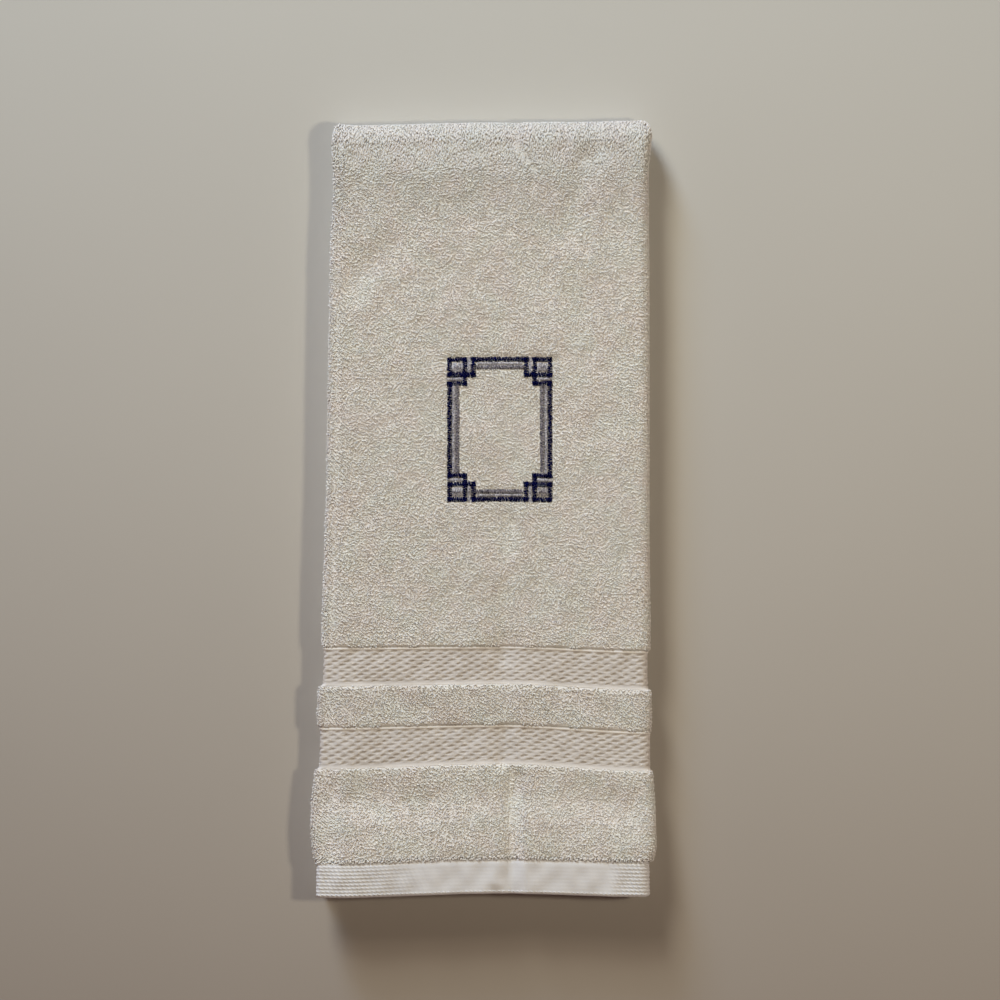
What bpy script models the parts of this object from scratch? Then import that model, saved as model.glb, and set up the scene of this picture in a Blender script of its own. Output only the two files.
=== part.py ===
"""A white terry hand towel, folded in thirds along its length and then in half over its top.

It lies flat with its front half up: +X is across the towel, +Y runs from the front hem to the
fold at the top, +Z is up, and the back half rests on z = 0. The towel is one piece of cloth, so
it is one closed solid: a strip of three layers, swept from the front hem, round the top fold,
to the back hem. The tables are in millimetres and the mesh is in metres.
"""

import math
from collections import namedtuple
from functools import partial

import bmesh
import bpy

MM = 0.001

# The flat cloth
CLOTH_WIDTH = 406.0
CLOTH_LENGTH = 686.0
TERRY = 3.0  # thickness with the loops of both faces
WEAVE = 1.3  # thickness of a border, which has no loops
HEM = 2.2  # thickness of the turned and sewn hem
HEM_EDGE = 1.6

# The stack: three layers in each half, numbered outwards from the middle of the towel
GAP = 0.35
PITCH = TERRY + GAP
FLAP_B_HEIGHT = 0.5 * PITCH
FLAP_A_HEIGHT = 1.5 * PITCH
FACE_HEIGHT = 2.5 * PITCH
HALF_HEIGHT = FACE_HEIGHT + 0.5 * TERRY
LEFT_FOLD_RADIUS = 0.5 * (FACE_HEIGHT - FLAP_A_HEIGHT)
RIGHT_FOLD_RADIUS = 0.5 * (FACE_HEIGHT - FLAP_B_HEIGHT)
FLAP_B_WIDTH = 129.5

# How finely each stretch of the section is divided
SAG_STEPS = 3
FLAP_A_STEPS = 3
LEFT_FOLD_STEPS = 6
FACE_STEPS = 20
RIGHT_FOLD_STEPS = 6
FLAP_B_STEPS = 4

# The left edge sinks where flap B's free edge stops short of it
SAG_DEPTH_SHARE = 0.13
SAG_MARGIN = 1.0
RELIEF_FADE = 7.0
ROOM_SHARE = 0.6  # how much of the gap under the face a trough may take up
LOWER_RISE_SHARE = 0.75  # how much of a ridge the cloth's underside follows

# Lines across the cloth, by their distance from a hem, and where each lies on the front half
Line = namedtuple("Line", "from_hem left middle right")
FRONT_LINES = (
    Line(0.0, -171.5, -169.4, -170.9),
    Line(15.2, -156.5, -154.2, -155.5),
    Line(56.5, -114.8, -112.4, -115.6),
    Line(73.5, -97.0, -95.7, -98.8),
    Line(92.0, -78.2, -77.2, -79.9),
    Line(108.5, -61.7, -61.2, -63.2),
    Line(331.0, 159.8, 161.2, 161.6),
)
FOLD_LINE = FRONT_LINES[-1]
PEAK = 0.55  # where the middle of a line is, as a share of the width

# What the front half and the turn at the top leave of the cloth's length lies behind
BACK_LENGTH = CLOTH_LENGTH - FOLD_LINE.from_hem - math.pi * FACE_HEIGHT
BACK_HEM_Y = FOLD_LINE.middle - BACK_LENGTH

# One row for each section of the front half, from the hem to the top fold. A section that sinks
# lies flatter than the stack's height, and a negative sink curls up off it
Section = namedtuple("Section", "from_hem left right thickness sink")
FRONT_SECTIONS = (
    Section(0.0, -73.3, 72.8, HEM_EDGE, -2.2),
    Section(0.9, -73.7, 73.2, HEM, -2.3),
    Section(14.5, -73.4, 73.0, HEM, -2.6),
    Section(15.9, -74.6, 75.2, TERRY, -2.9),
    Section(21.0, -75.6, 76.5, TERRY, -2.9),
    Section(31.0, -76.5, 76.3, TERRY, -2.1),
    Section(42.0, -76.2, 75.9, TERRY, -0.4),
    Section(55.9, -74.6, 75.1, TERRY, 0.0),
    Section(57.1, -72.2, 73.4, WEAVE, 0.5),
    Section(72.9, -71.8, 73.3, WEAVE, 0.5),
    Section(74.1, -73.6, 74.3, TERRY, 0.0),
    Section(82.0, -73.6, 74.5, TERRY, 0.0),
    Section(91.4, -73.2, 74.4, TERRY, 0.0),
    Section(92.6, -70.6, 72.2, WEAVE, 0.5),
    Section(107.9, -70.2, 72.2, WEAVE, 0.5),
    Section(109.1, -71.6, 73.9, TERRY, 0.0),
    Section(128.0, -71.3, 73.8, TERRY, 0.0),
    Section(150.0, -70.4, 73.5, TERRY, 0.0),
    Section(175.0, -69.6, 73.4, TERRY, 0.0),
    Section(200.0, -69.2, 73.4, TERRY, 0.0),
    Section(225.0, -68.8, 73.4, TERRY, 0.0),
    Section(250.0, -68.3, 73.4, TERRY, 0.0),
    Section(270.0, -68.0, 73.4, TERRY, 0.0),
    Section(288.0, -67.7, 73.2, TERRY, 0.0),
    Section(304.0, -66.5, 73.1, TERRY, 0.0),
    Section(318.0, -66.4, 73.0, TERRY, 0.0),
    Section(331.0, -66.9, 74.2, TERRY, 0.0),
)

# The top fold, by the angle turned round it from the front
Turn = namedtuple("Turn", "degrees left right")
TOP_TURNS = (
    Turn(22.5, -66.8, 74.4),
    Turn(45.0, -66.6, 74.4),
    Turn(67.5, -66.1, 74.0),
    Turn(90.0, -65.7, 73.6),
    Turn(112.5, -65.8, 73.4),
    Turn(135.0, -66.0, 73.3),
    Turn(157.5, -66.1, 73.2),
)

# The back half, from the top fold to its hem, which the front half hides from above
BACK_SECTIONS = (
    Section(327.0, -66.0, 73.0, TERRY, 0.0),
    Section(270.0, -66.8, 72.5, TERRY, 0.0),
    Section(200.0, -68.0, 72.4, TERRY, 0.0),
    Section(109.1, -70.0, 72.6, TERRY, 0.0),
    Section(107.9, -68.8, 71.2, WEAVE, 0.3),
    Section(92.6, -69.0, 71.3, WEAVE, 0.3),
    Section(91.4, -71.6, 73.0, TERRY, 0.0),
    Section(74.1, -72.0, 73.2, TERRY, 0.0),
    Section(72.9, -70.6, 71.8, WEAVE, 0.3),
    Section(57.1, -71.0, 72.2, WEAVE, 0.3),
    Section(55.9, -73.0, 73.8, TERRY, 0.0),
    Section(35.0, -74.2, 74.4, TERRY, 0.0),
    Section(15.9, -73.4, 73.9, TERRY, 0.0),
    Section(14.5, -72.4, 72.2, HEM, 0.4),
    Section(0.9, -72.6, 72.4, HEM, 0.4),
    Section(0.0, -72.3, 72.1, HEM_EDGE, 0.4),
)

# The main creases of the front face. A trough has a positive depth, a ridge a negative one
Crease = namedtuple("Crease", "x0 y0 x1 y1 half_width depth")
CREASES = (
    Crease(45.0, 153.0, 37.5, 120.0, 9.0, 0.9),
    Crease(54.0, 150.0, 48.0, 122.0, 9.0, -0.4),
    Crease(-41.0, 116.0, -61.0, 96.0, 12.0, 0.9),
    Crease(-44.0, 100.0, -58.0, 86.0, 10.0, -0.4),
    Crease(9.5, -8.0, 8.5, -60.0, 11.0, 0.6),
    Crease(8.5, -60.0, 9.0, -168.0, 9.0, 1.1),
    Crease(19.0, -112.0, 18.0, -165.0, 9.0, -0.5),
    Crease(-74.0, -128.0, -25.0, -131.0, 13.0, 0.9),
    Crease(44.0, -126.0, 74.0, -138.0, 13.0, 1.0),
)


def smooth_step(share):
    """0 below 0, 1 above 1, and an S-curve between."""
    share = min(1.0, max(0.0, share))
    return share * share * (3.0 - 2.0 * share)


def mix(start, end, share):
    return start + (end - start) * share


def across_line(line, share):
    """The y of a line at a share of the width: it bows up towards its middle."""
    if share < PEAK:
        return mix(line.left, line.middle, smooth_step(share / PEAK))
    return mix(line.middle, line.right, smooth_step((share - PEAK) / (1.0 - PEAK)))


def front_y(from_hem, share):
    for lower, upper in zip(FRONT_LINES, FRONT_LINES[1:]):
        if from_hem <= upper.from_hem:
            along = (from_hem - lower.from_hem) / (upper.from_hem - lower.from_hem)
            return mix(across_line(lower, share), across_line(upper, share), along)
    return across_line(FOLD_LINE, share)


def back_y(from_hem, share):
    return mix(BACK_HEM_Y, across_line(FOLD_LINE, share), from_hem / BACK_LENGTH)


def relief(x, y):
    """How far the front face rises at this place, below zero in a trough."""
    height = 0.0
    for crease in CREASES:
        run_x = crease.x1 - crease.x0
        run_y = crease.y1 - crease.y0
        along = ((x - crease.x0) * run_x + (y - crease.y0) * run_y) / (run_x**2 + run_y**2)
        along = min(1.0, max(0.0, along))
        away = math.hypot(x - crease.x0 - along * run_x, y - crease.y0 - along * run_y)
        near = max(0.0, 1.0 - (away / crease.half_width) ** 2)
        height -= crease.depth * near**2
    return height


class Strip:
    """The three layers of one section: a path of places across the towel, from one free edge to
    the other, each with the direction that the towel's outer face has there."""

    def __init__(self, section, sagging):
        self.section = section
        half = 0.5 * section.thickness
        self.left_centre = section.left + half + LEFT_FOLD_RADIUS
        self.right_centre = section.right - half - RIGHT_FOLD_RADIUS
        face_width = self.right_centre - self.left_centre
        folds = math.pi * (LEFT_FOLD_RADIUS + RIGHT_FOLD_RADIUS)
        self.flap_a_end = self.left_centre + CLOTH_WIDTH - face_width - folds - FLAP_B_WIDTH
        self.flap_b_end = self.right_centre - FLAP_B_WIDTH
        self.sag_width = max(SAG_MARGIN, self.flap_b_end - self.left_centre - SAG_MARGIN)
        self.sag_depth = sagging * SAG_DEPTH_SHARE * (self.flap_b_end - section.left)

    def sag(self, x):
        return self.sag_depth * (1.0 - smooth_step((x - self.left_centre) / self.sag_width))

    def sag_places(self):
        return [self.left_centre + self.sag_width * i / SAG_STEPS for i in range(SAG_STEPS + 1)]

    def flap_a(self):
        sag_end = self.left_centre + self.sag_width
        for step in range(FLAP_A_STEPS):
            x = mix(self.flap_a_end, sag_end, step / FLAP_A_STEPS)
            yield x, FLAP_A_HEIGHT, 0.0, -1.0, False
        for x in reversed(self.sag_places()):
            yield x, FLAP_A_HEIGHT - self.sag(x), 0.0, -1.0, False

    def left_fold(self):
        middle = 0.5 * (FACE_HEIGHT + FLAP_A_HEIGHT) - self.sag_depth
        for step in range(1, LEFT_FOLD_STEPS):
            angle = math.pi * (1.5 - step / LEFT_FOLD_STEPS)
            out_x, out_height = math.cos(angle), math.sin(angle)
            x = self.left_centre + LEFT_FOLD_RADIUS * out_x
            yield x, middle + LEFT_FOLD_RADIUS * out_height, out_x, out_height, False

    def face(self):
        for x in self.sag_places():
            yield x, FACE_HEIGHT - self.sag(x), 0.0, 1.0, True
        sag_end = self.left_centre + self.sag_width
        for step in range(1, FACE_STEPS + 1):
            x = mix(sag_end, self.right_centre, step / FACE_STEPS)
            yield x, FACE_HEIGHT, 0.0, 1.0, True

    def right_fold(self):
        middle = 0.5 * (FACE_HEIGHT + FLAP_B_HEIGHT)
        for step in range(1, RIGHT_FOLD_STEPS):
            angle = math.pi * (0.5 - step / RIGHT_FOLD_STEPS)
            out_x, out_height = math.cos(angle), math.sin(angle)
            x = self.right_centre + RIGHT_FOLD_RADIUS * out_x
            yield x, middle + RIGHT_FOLD_RADIUS * out_height, out_x, out_height, False

    def flap_b(self):
        for step in range(FLAP_B_STEPS + 1):
            x = mix(self.right_centre, self.flap_b_end, step / FLAP_B_STEPS)
            yield x, FLAP_B_HEIGHT, 0.0, -1.0, False

    def path(self):
        for stretch in (self.flap_a, self.left_fold, self.face, self.right_fold, self.flap_b):
            yield from stretch()

    def share(self, x):
        return (x - self.section.left) / (self.section.right - self.section.left)

    def relief_share(self, x):
        """Creases fade out towards the two folded edges."""
        from_edge = min(x - self.left_centre, self.right_centre - x)
        return smooth_step(from_edge / RELIEF_FADE)

    def surfaces(self, y_at, raised):
        """Pairs of places on the cloth's outer and inner surface, as (x, height) each."""
        half = 0.5 * self.section.thickness
        room = ROOM_SHARE * (PITCH - self.section.thickness)
        flatten = 1.0 - self.section.sink / FACE_HEIGHT
        for x, height, out_x, out_height, on_face in self.path():
            height *= flatten
            upper = 0.0
            if raised and on_face:
                upper = self.relief_share(x) * relief(x, y_at(self.share(x)))
            lower = LOWER_RISE_SHARE * upper if upper > 0.0 else max(upper, -room)
            outer = (x + half * out_x, height + half * out_height + upper)
            inner = (x - half * out_x, height - half * out_height + lower)
            yield self.share(x), outer, inner

    def placed(self, y_at, angle, raised=False):
        """The section's pairs of places in the towel, turned by an angle round the top fold."""
        row = []
        for share, *pair in self.surfaces(y_at, raised):
            y = y_at(share)
            row.append(
                [
                    (x, y + height * math.sin(angle), HALF_HEIGHT + height * math.cos(angle))
                    for x, height in pair
                ]
            )
        return row


def towel_rows():
    """The sections from the front hem, round the top fold, to the back hem."""
    for section in FRONT_SECTIONS:
        yield Strip(section, 1.0).placed(partial(front_y, section.from_hem), 0.0, raised=True)
    for turn in TOP_TURNS:
        angle = math.radians(turn.degrees)
        section = Section(FOLD_LINE.from_hem, turn.left, turn.right, TERRY, 0.0)
        sagging = max(0.0, math.cos(angle))
        yield Strip(section, sagging).placed(partial(across_line, FOLD_LINE), angle)
    for section in BACK_SECTIONS:
        yield Strip(section, 0.0).placed(partial(back_y, section.from_hem), math.pi)


def bridge(mesh, lower, upper):
    """Joins two rows of corners, face by face."""
    for start, end in zip(range(len(lower)), range(1, len(lower))):
        mesh.faces.new((lower[start], lower[end], upper[end], upper[start]))


def towel_mesh():
    """Bridges the sections into one closed skin: outer surface, inner surface and four edges."""
    mesh = bmesh.new()
    outer = []
    inner = []
    for row in towel_rows():
        outer.append([mesh.verts.new([MM * c for c in on_outer]) for on_outer, _ in row])
        inner.append([mesh.verts.new([MM * c for c in on_inner]) for _, on_inner in row])
    for skin in (outer, inner):
        for lower, upper in zip(skin, skin[1:]):
            bridge(mesh, lower, upper)
    for hem in (0, -1):
        bridge(mesh, outer[hem], inner[hem])
    for selvedge in (0, -1):
        bridge(mesh, [row[selvedge] for row in outer], [row[selvedge] for row in inner])
    bmesh.ops.recalc_face_normals(mesh, faces=mesh.faces)
    return mesh


def terry_material():
    material = bpy.data.materials.new("White terry")
    material.use_nodes = True
    shader = material.node_tree.nodes["Principled BSDF"]
    shader.inputs["Base Color"].default_value = (0.82, 0.80, 0.76, 1.0)
    shader.inputs["Roughness"].default_value = 0.95
    shader.inputs["Metallic"].default_value = 0.0
    return material


def build_towel():
    data = bpy.data.meshes.new("towel")
    mesh = towel_mesh()
    mesh.to_mesh(data)
    mesh.free()
    data.materials.append(terry_material())
    data.shade_smooth()
    data.set_sharp_from_angle(angle=math.radians(50.0))
    towel = bpy.data.objects.new("towel", data)
    bpy.context.scene.collection.objects.link(towel)


def main():
    for leftover in list(bpy.data.objects):
        bpy.data.objects.remove(leftover)
    build_towel()


main()
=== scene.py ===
"""The looks of a white terry hand towel, folded in thirds along its length and then in half.

Every piece is built on the folded shape that the CAD part has. A place on the cloth is given by a
stretch number and a share of that stretch across it, and by its distance from the front hem along
it. Lengths are in millimetres, and become metres where a mesh is written.
"""

import logging
import math
from dataclasses import dataclass, field
from enum import Enum, IntEnum
from typing import Any, NamedTuple, Sequence

import bpy
import numpy as np
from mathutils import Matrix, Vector


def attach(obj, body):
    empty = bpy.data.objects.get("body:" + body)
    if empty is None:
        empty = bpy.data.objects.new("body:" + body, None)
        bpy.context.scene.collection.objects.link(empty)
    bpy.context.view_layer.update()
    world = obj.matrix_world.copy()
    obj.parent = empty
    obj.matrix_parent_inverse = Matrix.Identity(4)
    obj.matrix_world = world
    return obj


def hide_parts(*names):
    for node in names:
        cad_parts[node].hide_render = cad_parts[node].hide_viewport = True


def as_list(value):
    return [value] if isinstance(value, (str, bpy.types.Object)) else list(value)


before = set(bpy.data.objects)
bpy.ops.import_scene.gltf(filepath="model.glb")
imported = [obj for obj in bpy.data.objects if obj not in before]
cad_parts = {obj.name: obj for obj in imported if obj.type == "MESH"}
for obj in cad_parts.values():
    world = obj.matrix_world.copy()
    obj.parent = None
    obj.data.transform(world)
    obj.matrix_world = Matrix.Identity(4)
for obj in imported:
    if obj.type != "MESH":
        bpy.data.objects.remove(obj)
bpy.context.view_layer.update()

MM = 0.001
log = logging.getLogger("towel")
Array = np.ndarray
Colour = tuple[float, float, float]


def smooth_step(share: Array) -> Array:
    """0 below 0, 1 above 1, and an S-curve between."""
    share = np.clip(share, 0.0, 1.0)
    return share * share * (3.0 - 2.0 * share)


def mix(start: Any, end: Any, share: Any) -> Any:
    """The value a share of the way from start to end."""
    return start + (end - start) * share


def unit(vectors: Array) -> Array:
    """The same directions, each of length 1."""
    return vectors / np.maximum(np.linalg.norm(vectors, axis=-1, keepdims=True), 1e-9)


# ------------------------------------------------------------------ the folded shape


class Line(NamedTuple):
    """A line across the cloth, and the y of its left end, middle and right end."""

    along: float
    left: float
    middle: float
    right: float


class Section(NamedTuple):
    """The towel's two edges at one place along the cloth. A negative sink curls up."""

    along: float
    left: float
    right: float
    thickness: float
    sink: float = 0.0


class Turn(NamedTuple):
    """The towel's two edges at one angle round the top fold."""

    degrees: float
    left: float
    right: float


class Crease(NamedTuple):
    """A soft trough from one point of the face to another, or a ridge where depth is negative."""

    x0: float
    y0: float
    x1: float
    y1: float
    half_width: float
    depth: float


class Stretch(IntEnum):
    """The stretches of a section across the cloth, in the order in which they are folded."""

    FLAP_A = 0
    LEFT_FOLD = 1
    FACE = 2
    RIGHT_FOLD = 3
    FLAP_B = 4


class Zone(NamedTuple):
    """A stretch of the cloth between two lines across it, by their distances from its hem."""

    start: float
    end: float


def ramp_up(places: Array, zone: Zone) -> Array:
    """0 before a zone, 1 past it, and an S-curve over it."""
    return smooth_step((places - zone.start) / (zone.end - zone.start))


def ramp_down(places: Array, zone: Zone) -> Array:
    """1 before a zone, 0 past it, and an S-curve over it."""
    return smooth_step((zone.end - places) / (zone.end - zone.start))


def shown_share(across: Array, soft: float) -> Array:
    """1 on the face and its two folds, which show, and 0 on the flaps tucked under it."""
    from_flap_a = (across - Stretch.LEFT_FOLD) / soft
    return smooth_step(from_flap_a) * smooth_step((Stretch.FLAP_B - across) / soft)


STRETCH_ENDS = np.arange(len(Stretch) + 1.0)


class Patch(NamedTuple):
    """Places in the folded towel, with three directions of the cloth at each."""

    points: Array
    across: Array
    along: Array
    out: Array


TERRY = 3.0
WEAVE = 1.3
HEM = 2.2
HEM_EDGE = 1.6

FRONT_LINES = (
    Line(0.0, -171.5, -169.4, -170.9),
    Line(15.2, -156.5, -154.2, -155.5),
    Line(56.5, -114.8, -112.4, -115.6),
    Line(73.5, -97.0, -95.7, -98.8),
    Line(92.0, -78.2, -77.2, -79.9),
    Line(108.5, -61.7, -61.2, -63.2),
    Line(331.0, 159.8, 161.2, 161.6),
)

FRONT_SECTIONS = (
    Section(0.0, -73.3, 72.8, HEM_EDGE, -2.2),
    Section(0.9, -73.7, 73.2, HEM, -2.3),
    Section(14.5, -73.4, 73.0, HEM, -2.6),
    Section(15.9, -74.6, 75.2, TERRY, -2.9),
    Section(21.0, -75.6, 76.5, TERRY, -2.9),
    Section(31.0, -76.5, 76.3, TERRY, -2.1),
    Section(42.0, -76.2, 75.9, TERRY, -0.4),
    Section(55.9, -74.6, 75.1, TERRY),
    Section(57.1, -72.2, 73.4, WEAVE, 0.5),
    Section(72.9, -71.8, 73.3, WEAVE, 0.5),
    Section(74.1, -73.6, 74.3, TERRY),
    Section(82.0, -73.6, 74.5, TERRY),
    Section(91.4, -73.2, 74.4, TERRY),
    Section(92.6, -70.6, 72.2, WEAVE, 0.5),
    Section(107.9, -70.2, 72.2, WEAVE, 0.5),
    Section(109.1, -71.6, 73.9, TERRY),
    Section(128.0, -71.3, 73.8, TERRY),
    Section(150.0, -70.4, 73.5, TERRY),
    Section(175.0, -69.6, 73.4, TERRY),
    Section(200.0, -69.2, 73.4, TERRY),
    Section(225.0, -68.8, 73.4, TERRY),
    Section(250.0, -68.3, 73.4, TERRY),
    Section(270.0, -68.0, 73.4, TERRY),
    Section(288.0, -67.7, 73.2, TERRY),
    Section(304.0, -66.5, 73.1, TERRY),
    Section(318.0, -66.4, 73.0, TERRY),
    Section(331.0, -66.9, 74.2, TERRY),
)

TOP_TURNS = (
    Turn(22.5, -66.8, 74.4),
    Turn(45.0, -66.6, 74.4),
    Turn(67.5, -66.1, 74.0),
    Turn(90.0, -65.7, 73.6),
    Turn(112.5, -65.8, 73.4),
    Turn(135.0, -66.0, 73.3),
    Turn(157.5, -66.1, 73.2),
)

BACK_SECTIONS = (
    Section(327.0, -66.0, 73.0, TERRY),
    Section(270.0, -66.8, 72.5, TERRY),
    Section(200.0, -68.0, 72.4, TERRY),
    Section(109.1, -70.0, 72.6, TERRY),
    Section(107.9, -68.8, 71.2, WEAVE, 0.3),
    Section(92.6, -69.0, 71.3, WEAVE, 0.3),
    Section(91.4, -71.6, 73.0, TERRY),
    Section(74.1, -72.0, 73.2, TERRY),
    Section(72.9, -70.6, 71.8, WEAVE, 0.3),
    Section(57.1, -71.0, 72.2, WEAVE, 0.3),
    Section(55.9, -73.0, 73.8, TERRY),
    Section(35.0, -74.2, 74.4, TERRY),
    Section(15.9, -73.4, 73.9, TERRY),
    Section(14.5, -72.4, 72.2, HEM, 0.4),
    Section(0.9, -72.6, 72.4, HEM, 0.4),
    Section(0.0, -72.3, 72.1, HEM_EDGE, 0.4),
)

# The creases of the CAD part, and then finer ones
CREASES = (
    Crease(45.0, 153.0, 37.5, 120.0, 9.0, 0.9),
    Crease(54.0, 150.0, 48.0, 122.0, 9.0, -0.4),
    Crease(-41.0, 116.0, -61.0, 96.0, 12.0, 0.9),
    Crease(-44.0, 100.0, -58.0, 86.0, 10.0, -0.4),
    Crease(9.5, -8.0, 8.5, -60.0, 11.0, 0.6),
    Crease(8.5, -60.0, 9.0, -168.0, 9.0, 1.1),
    Crease(19.0, -112.0, 18.0, -165.0, 9.0, -0.5),
    Crease(-74.0, -128.0, -25.0, -131.0, 13.0, 0.9),
    Crease(44.0, -126.0, 74.0, -138.0, 13.0, 1.0),
    Crease(12.0, 164.8, 22.0, 149.0, 3.5, 0.5),
    Crease(22.0, 149.0, 23.0, 140.0, 3.5, 0.45),
    Crease(48.5, 132.5, 46.0, 114.0, 4.5, 0.4),
    Crease(28.5, 119.0, 28.0, 72.0, 5.0, 0.3),
    Crease(33.5, 118.0, 33.0, 76.0, 5.0, -0.2),
    Crease(-52.0, -77.0, -14.0, -97.0, 6.0, 0.35),
    Crease(-46.0, -68.0, -18.0, -80.0, 5.0, -0.2),
    Crease(33.0, -80.0, 62.0, -96.0, 6.0, 0.4),
    Crease(17.0, -118.0, 17.0, -168.0, 2.5, 0.25),
    Crease(11.0, -6.0, 9.0, -66.0, 5.5, 0.40),
    Crease(10.0, -74.0, 8.0, -112.0, 4.0, 0.30),
    Crease(-15.2, 65.5, 29.6, 65.5, 4.5, 0.75),
    Crease(-15.2, 4.6, 29.6, 4.6, 4.0, 0.30),
    Crease(-15.2, 4.6, -15.2, 65.0, 4.0, 0.30),
    Crease(29.6, 4.6, 29.6, 65.0, 4.0, 0.35),
    Crease(-70.0, 164.0, 78.0, 164.0, 20.0, 0.8),
    Crease(-43.0, 113.0, -62.0, 97.0, 8.0, 0.4),
    Crease(14.0, -118.0, 13.5, -168.0, 5.0, 1.5),
    Crease(7.0, -118.0, 6.0, -164.0, 5.0, -1.0),
)


@dataclass
class Ripples:
    """Small unevenness of the cloth: many low waves of different lengths and directions."""

    seed: int
    shortest: float
    longest: float
    height: float
    count: int = 14

    def __post_init__(self) -> None:
        """Draws the waves."""
        draw = np.random.default_rng(self.seed)
        self.turns = draw.uniform(0.0, 2.0 * math.pi, self.count)
        self.lengths = draw.uniform(self.shortest, self.longest, self.count)
        self.phases = draw.uniform(0.0, 2.0 * math.pi, self.count)

    def at(self, x: Array, y: Array) -> Array:
        """The height of the waves at each place.

        Args:
            x: the places' distances across, in mm.
            y: their distances along, in mm.

        Returns:
            The heights, in mm.
        """
        total = np.zeros(np.broadcast(x, y).shape)
        for turn, length, phase in zip(self.turns, self.lengths, self.phases):
            run = x * math.cos(turn) + y * math.sin(turn)
            total = total + np.sin(2.0 * math.pi * run / length + phase)
        return total * self.height / math.sqrt(self.count)


@dataclass
class FoldedCloth:
    """The towel's folded shape. It says where each place on the flat cloth lies."""

    width: float = 406.0
    length: float = 686.0
    pitch: float = 3.35
    flap_b_width: float = 129.5
    sag_share: float = 0.13
    sag_margin: float = 1.0
    relief_fade: float = 7.0
    peak: float = 0.55
    recess: float = 1.0
    borders: tuple[Zone, ...] = (Zone(56.5, 73.5), Zone(92.0, 108.5))
    hem_zone: Zone = Zone(0.0, 15.2)
    top_zone: Zone = Zone(140.0, 158.0)
    # Where and how strongly the terry is darkened towards the top fold, as painted shade.
    top_shade_zones: tuple[Zone, ...] = (Zone(112.0, 146.0), Zone(142.0, 160.0))
    top_shade_shares: tuple[float, ...] = (0.6, 0.4)
    broad: Ripples = field(default_factory=lambda: Ripples(3, 20.0, 48.0, 0.30))
    fine: Ripples = field(default_factory=lambda: Ripples(4, 5.0, 13.0, 0.13, 20))

    def __post_init__(self) -> None:
        """Works out the stack's heights and joins the tables into one for the whole length."""
        self.flap_b_height = 0.5 * self.pitch
        self.flap_a_height = 1.5 * self.pitch
        self.face_height = 2.5 * self.pitch
        self.middle = self.face_height + 0.5 * TERRY
        self.left_radius = 0.5 * (self.face_height - self.flap_a_height)
        self.right_radius = 0.5 * (self.face_height - self.flap_b_height)
        self.top_start = FRONT_LINES[-1].along
        self.top_end = self.top_start + math.pi * self.face_height
        rows = [(*section, 1.0) for section in FRONT_SECTIONS]
        for turn in TOP_TURNS:
            angle = math.radians(turn.degrees)
            along = self.top_start + angle * self.face_height
            rows.append((along, turn.left, turn.right, TERRY, 0.0, max(0.0, math.cos(angle))))
        rows += [(self.length - s.along, *s[1:], 0.0) for s in BACK_SECTIONS]
        self.sections = np.array(rows).T
        fold = FRONT_LINES[-1]
        back_hem = fold.middle - (self.length - self.top_end)
        lines = [*FRONT_LINES, (self.top_end, *fold[1:]), (self.length, *[back_hem] * 3)]
        self.lines = np.array(lines).T

    def section(self, along: Array) -> list[Array]:
        """Left edge, right edge, thickness, sink and share of sag at each place along."""
        return [np.interp(along, self.sections[0], column) for column in self.sections[1:]]

    def line_y(self, along: Array, share: Array) -> Array:
        """The y of the line across the cloth at each place: it bows up towards its middle."""
        left, middle, right = (np.interp(along, self.lines[0], c) for c in self.lines[1:])
        rising = mix(left, middle, smooth_step(share / self.peak))
        falling = mix(middle, right, smooth_step((share - self.peak) / (1.0 - self.peak)))
        return np.where(share < self.peak, rising, falling)

    def relief(self, x: Array, y: Array) -> Array:
        """How far the front face rises at each place, below zero in a trough."""
        height = self.broad.at(x, y) + self.fine.at(x, y)
        for crease in CREASES:
            run_x = crease.x1 - crease.x0
            run_y = crease.y1 - crease.y0
            share = ((x - crease.x0) * run_x + (y - crease.y0) * run_y) / (run_x**2 + run_y**2)
            share = np.clip(share, 0.0, 1.0)
            away = np.hypot(x - crease.x0 - share * run_x, y - crease.y0 - share * run_y)
            near = np.maximum(0.0, 1.0 - (away / crease.half_width) ** 2)
            height = height - crease.depth * near**2
        return height

    def fold_centres(self, left: Array, right: Array, thick: Array) -> tuple[Array, Array]:
        """The x of each side fold's centre, from the towel's edges and the cloth's thickness."""
        return left + 0.5 * thick + self.left_radius, right - 0.5 * thick - self.right_radius

    def place(self, across: Any, along: Any, lift: Any = 0.0) -> Patch:
        """Puts places of the cloth where the folded towel has them.

        Args:
            across: the stretch's number plus the share of it.
            along: the distance from the front hem, in mm.
            lift: the distance from the cloth's middle towards its outer face, in mm.

        Returns:
            The points, in mm, with the cloth's directions there.
        """
        across, along, lift = np.broadcast_arrays(across, along, lift)
        left, right, thick, sink, sagging = self.section(along)
        left_centre, right_centre = self.fold_centres(left, right, thick)
        folds = math.pi * (self.left_radius + self.right_radius)
        flap_a_width = self.width - (right_centre - left_centre) - folds - self.flap_b_width
        flap_b_end = right_centre - self.flap_b_width
        sag_depth = sagging * self.sag_share * (flap_b_end - left)
        sag_width = np.maximum(self.sag_margin, flap_b_end - left_centre - self.sag_margin)

        stretch = np.clip(np.floor(across), Stretch.FLAP_A, Stretch.FLAP_B).astype(int)
        share = across - stretch
        left_turn = math.pi * (1.5 - share)
        right_turn = math.pi * (0.5 - share)
        on_flap_a = mix(left_centre + flap_a_width, left_centre, share)
        on_face = mix(left_centre, right_centre, share)
        on_flap_b = mix(right_centre, flap_b_end, share)

        def sag(x: Array) -> Array:
            """How far the left edge sinks at each place."""
            return sag_depth * (1.0 - smooth_step((x - left_centre) / sag_width))

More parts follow.
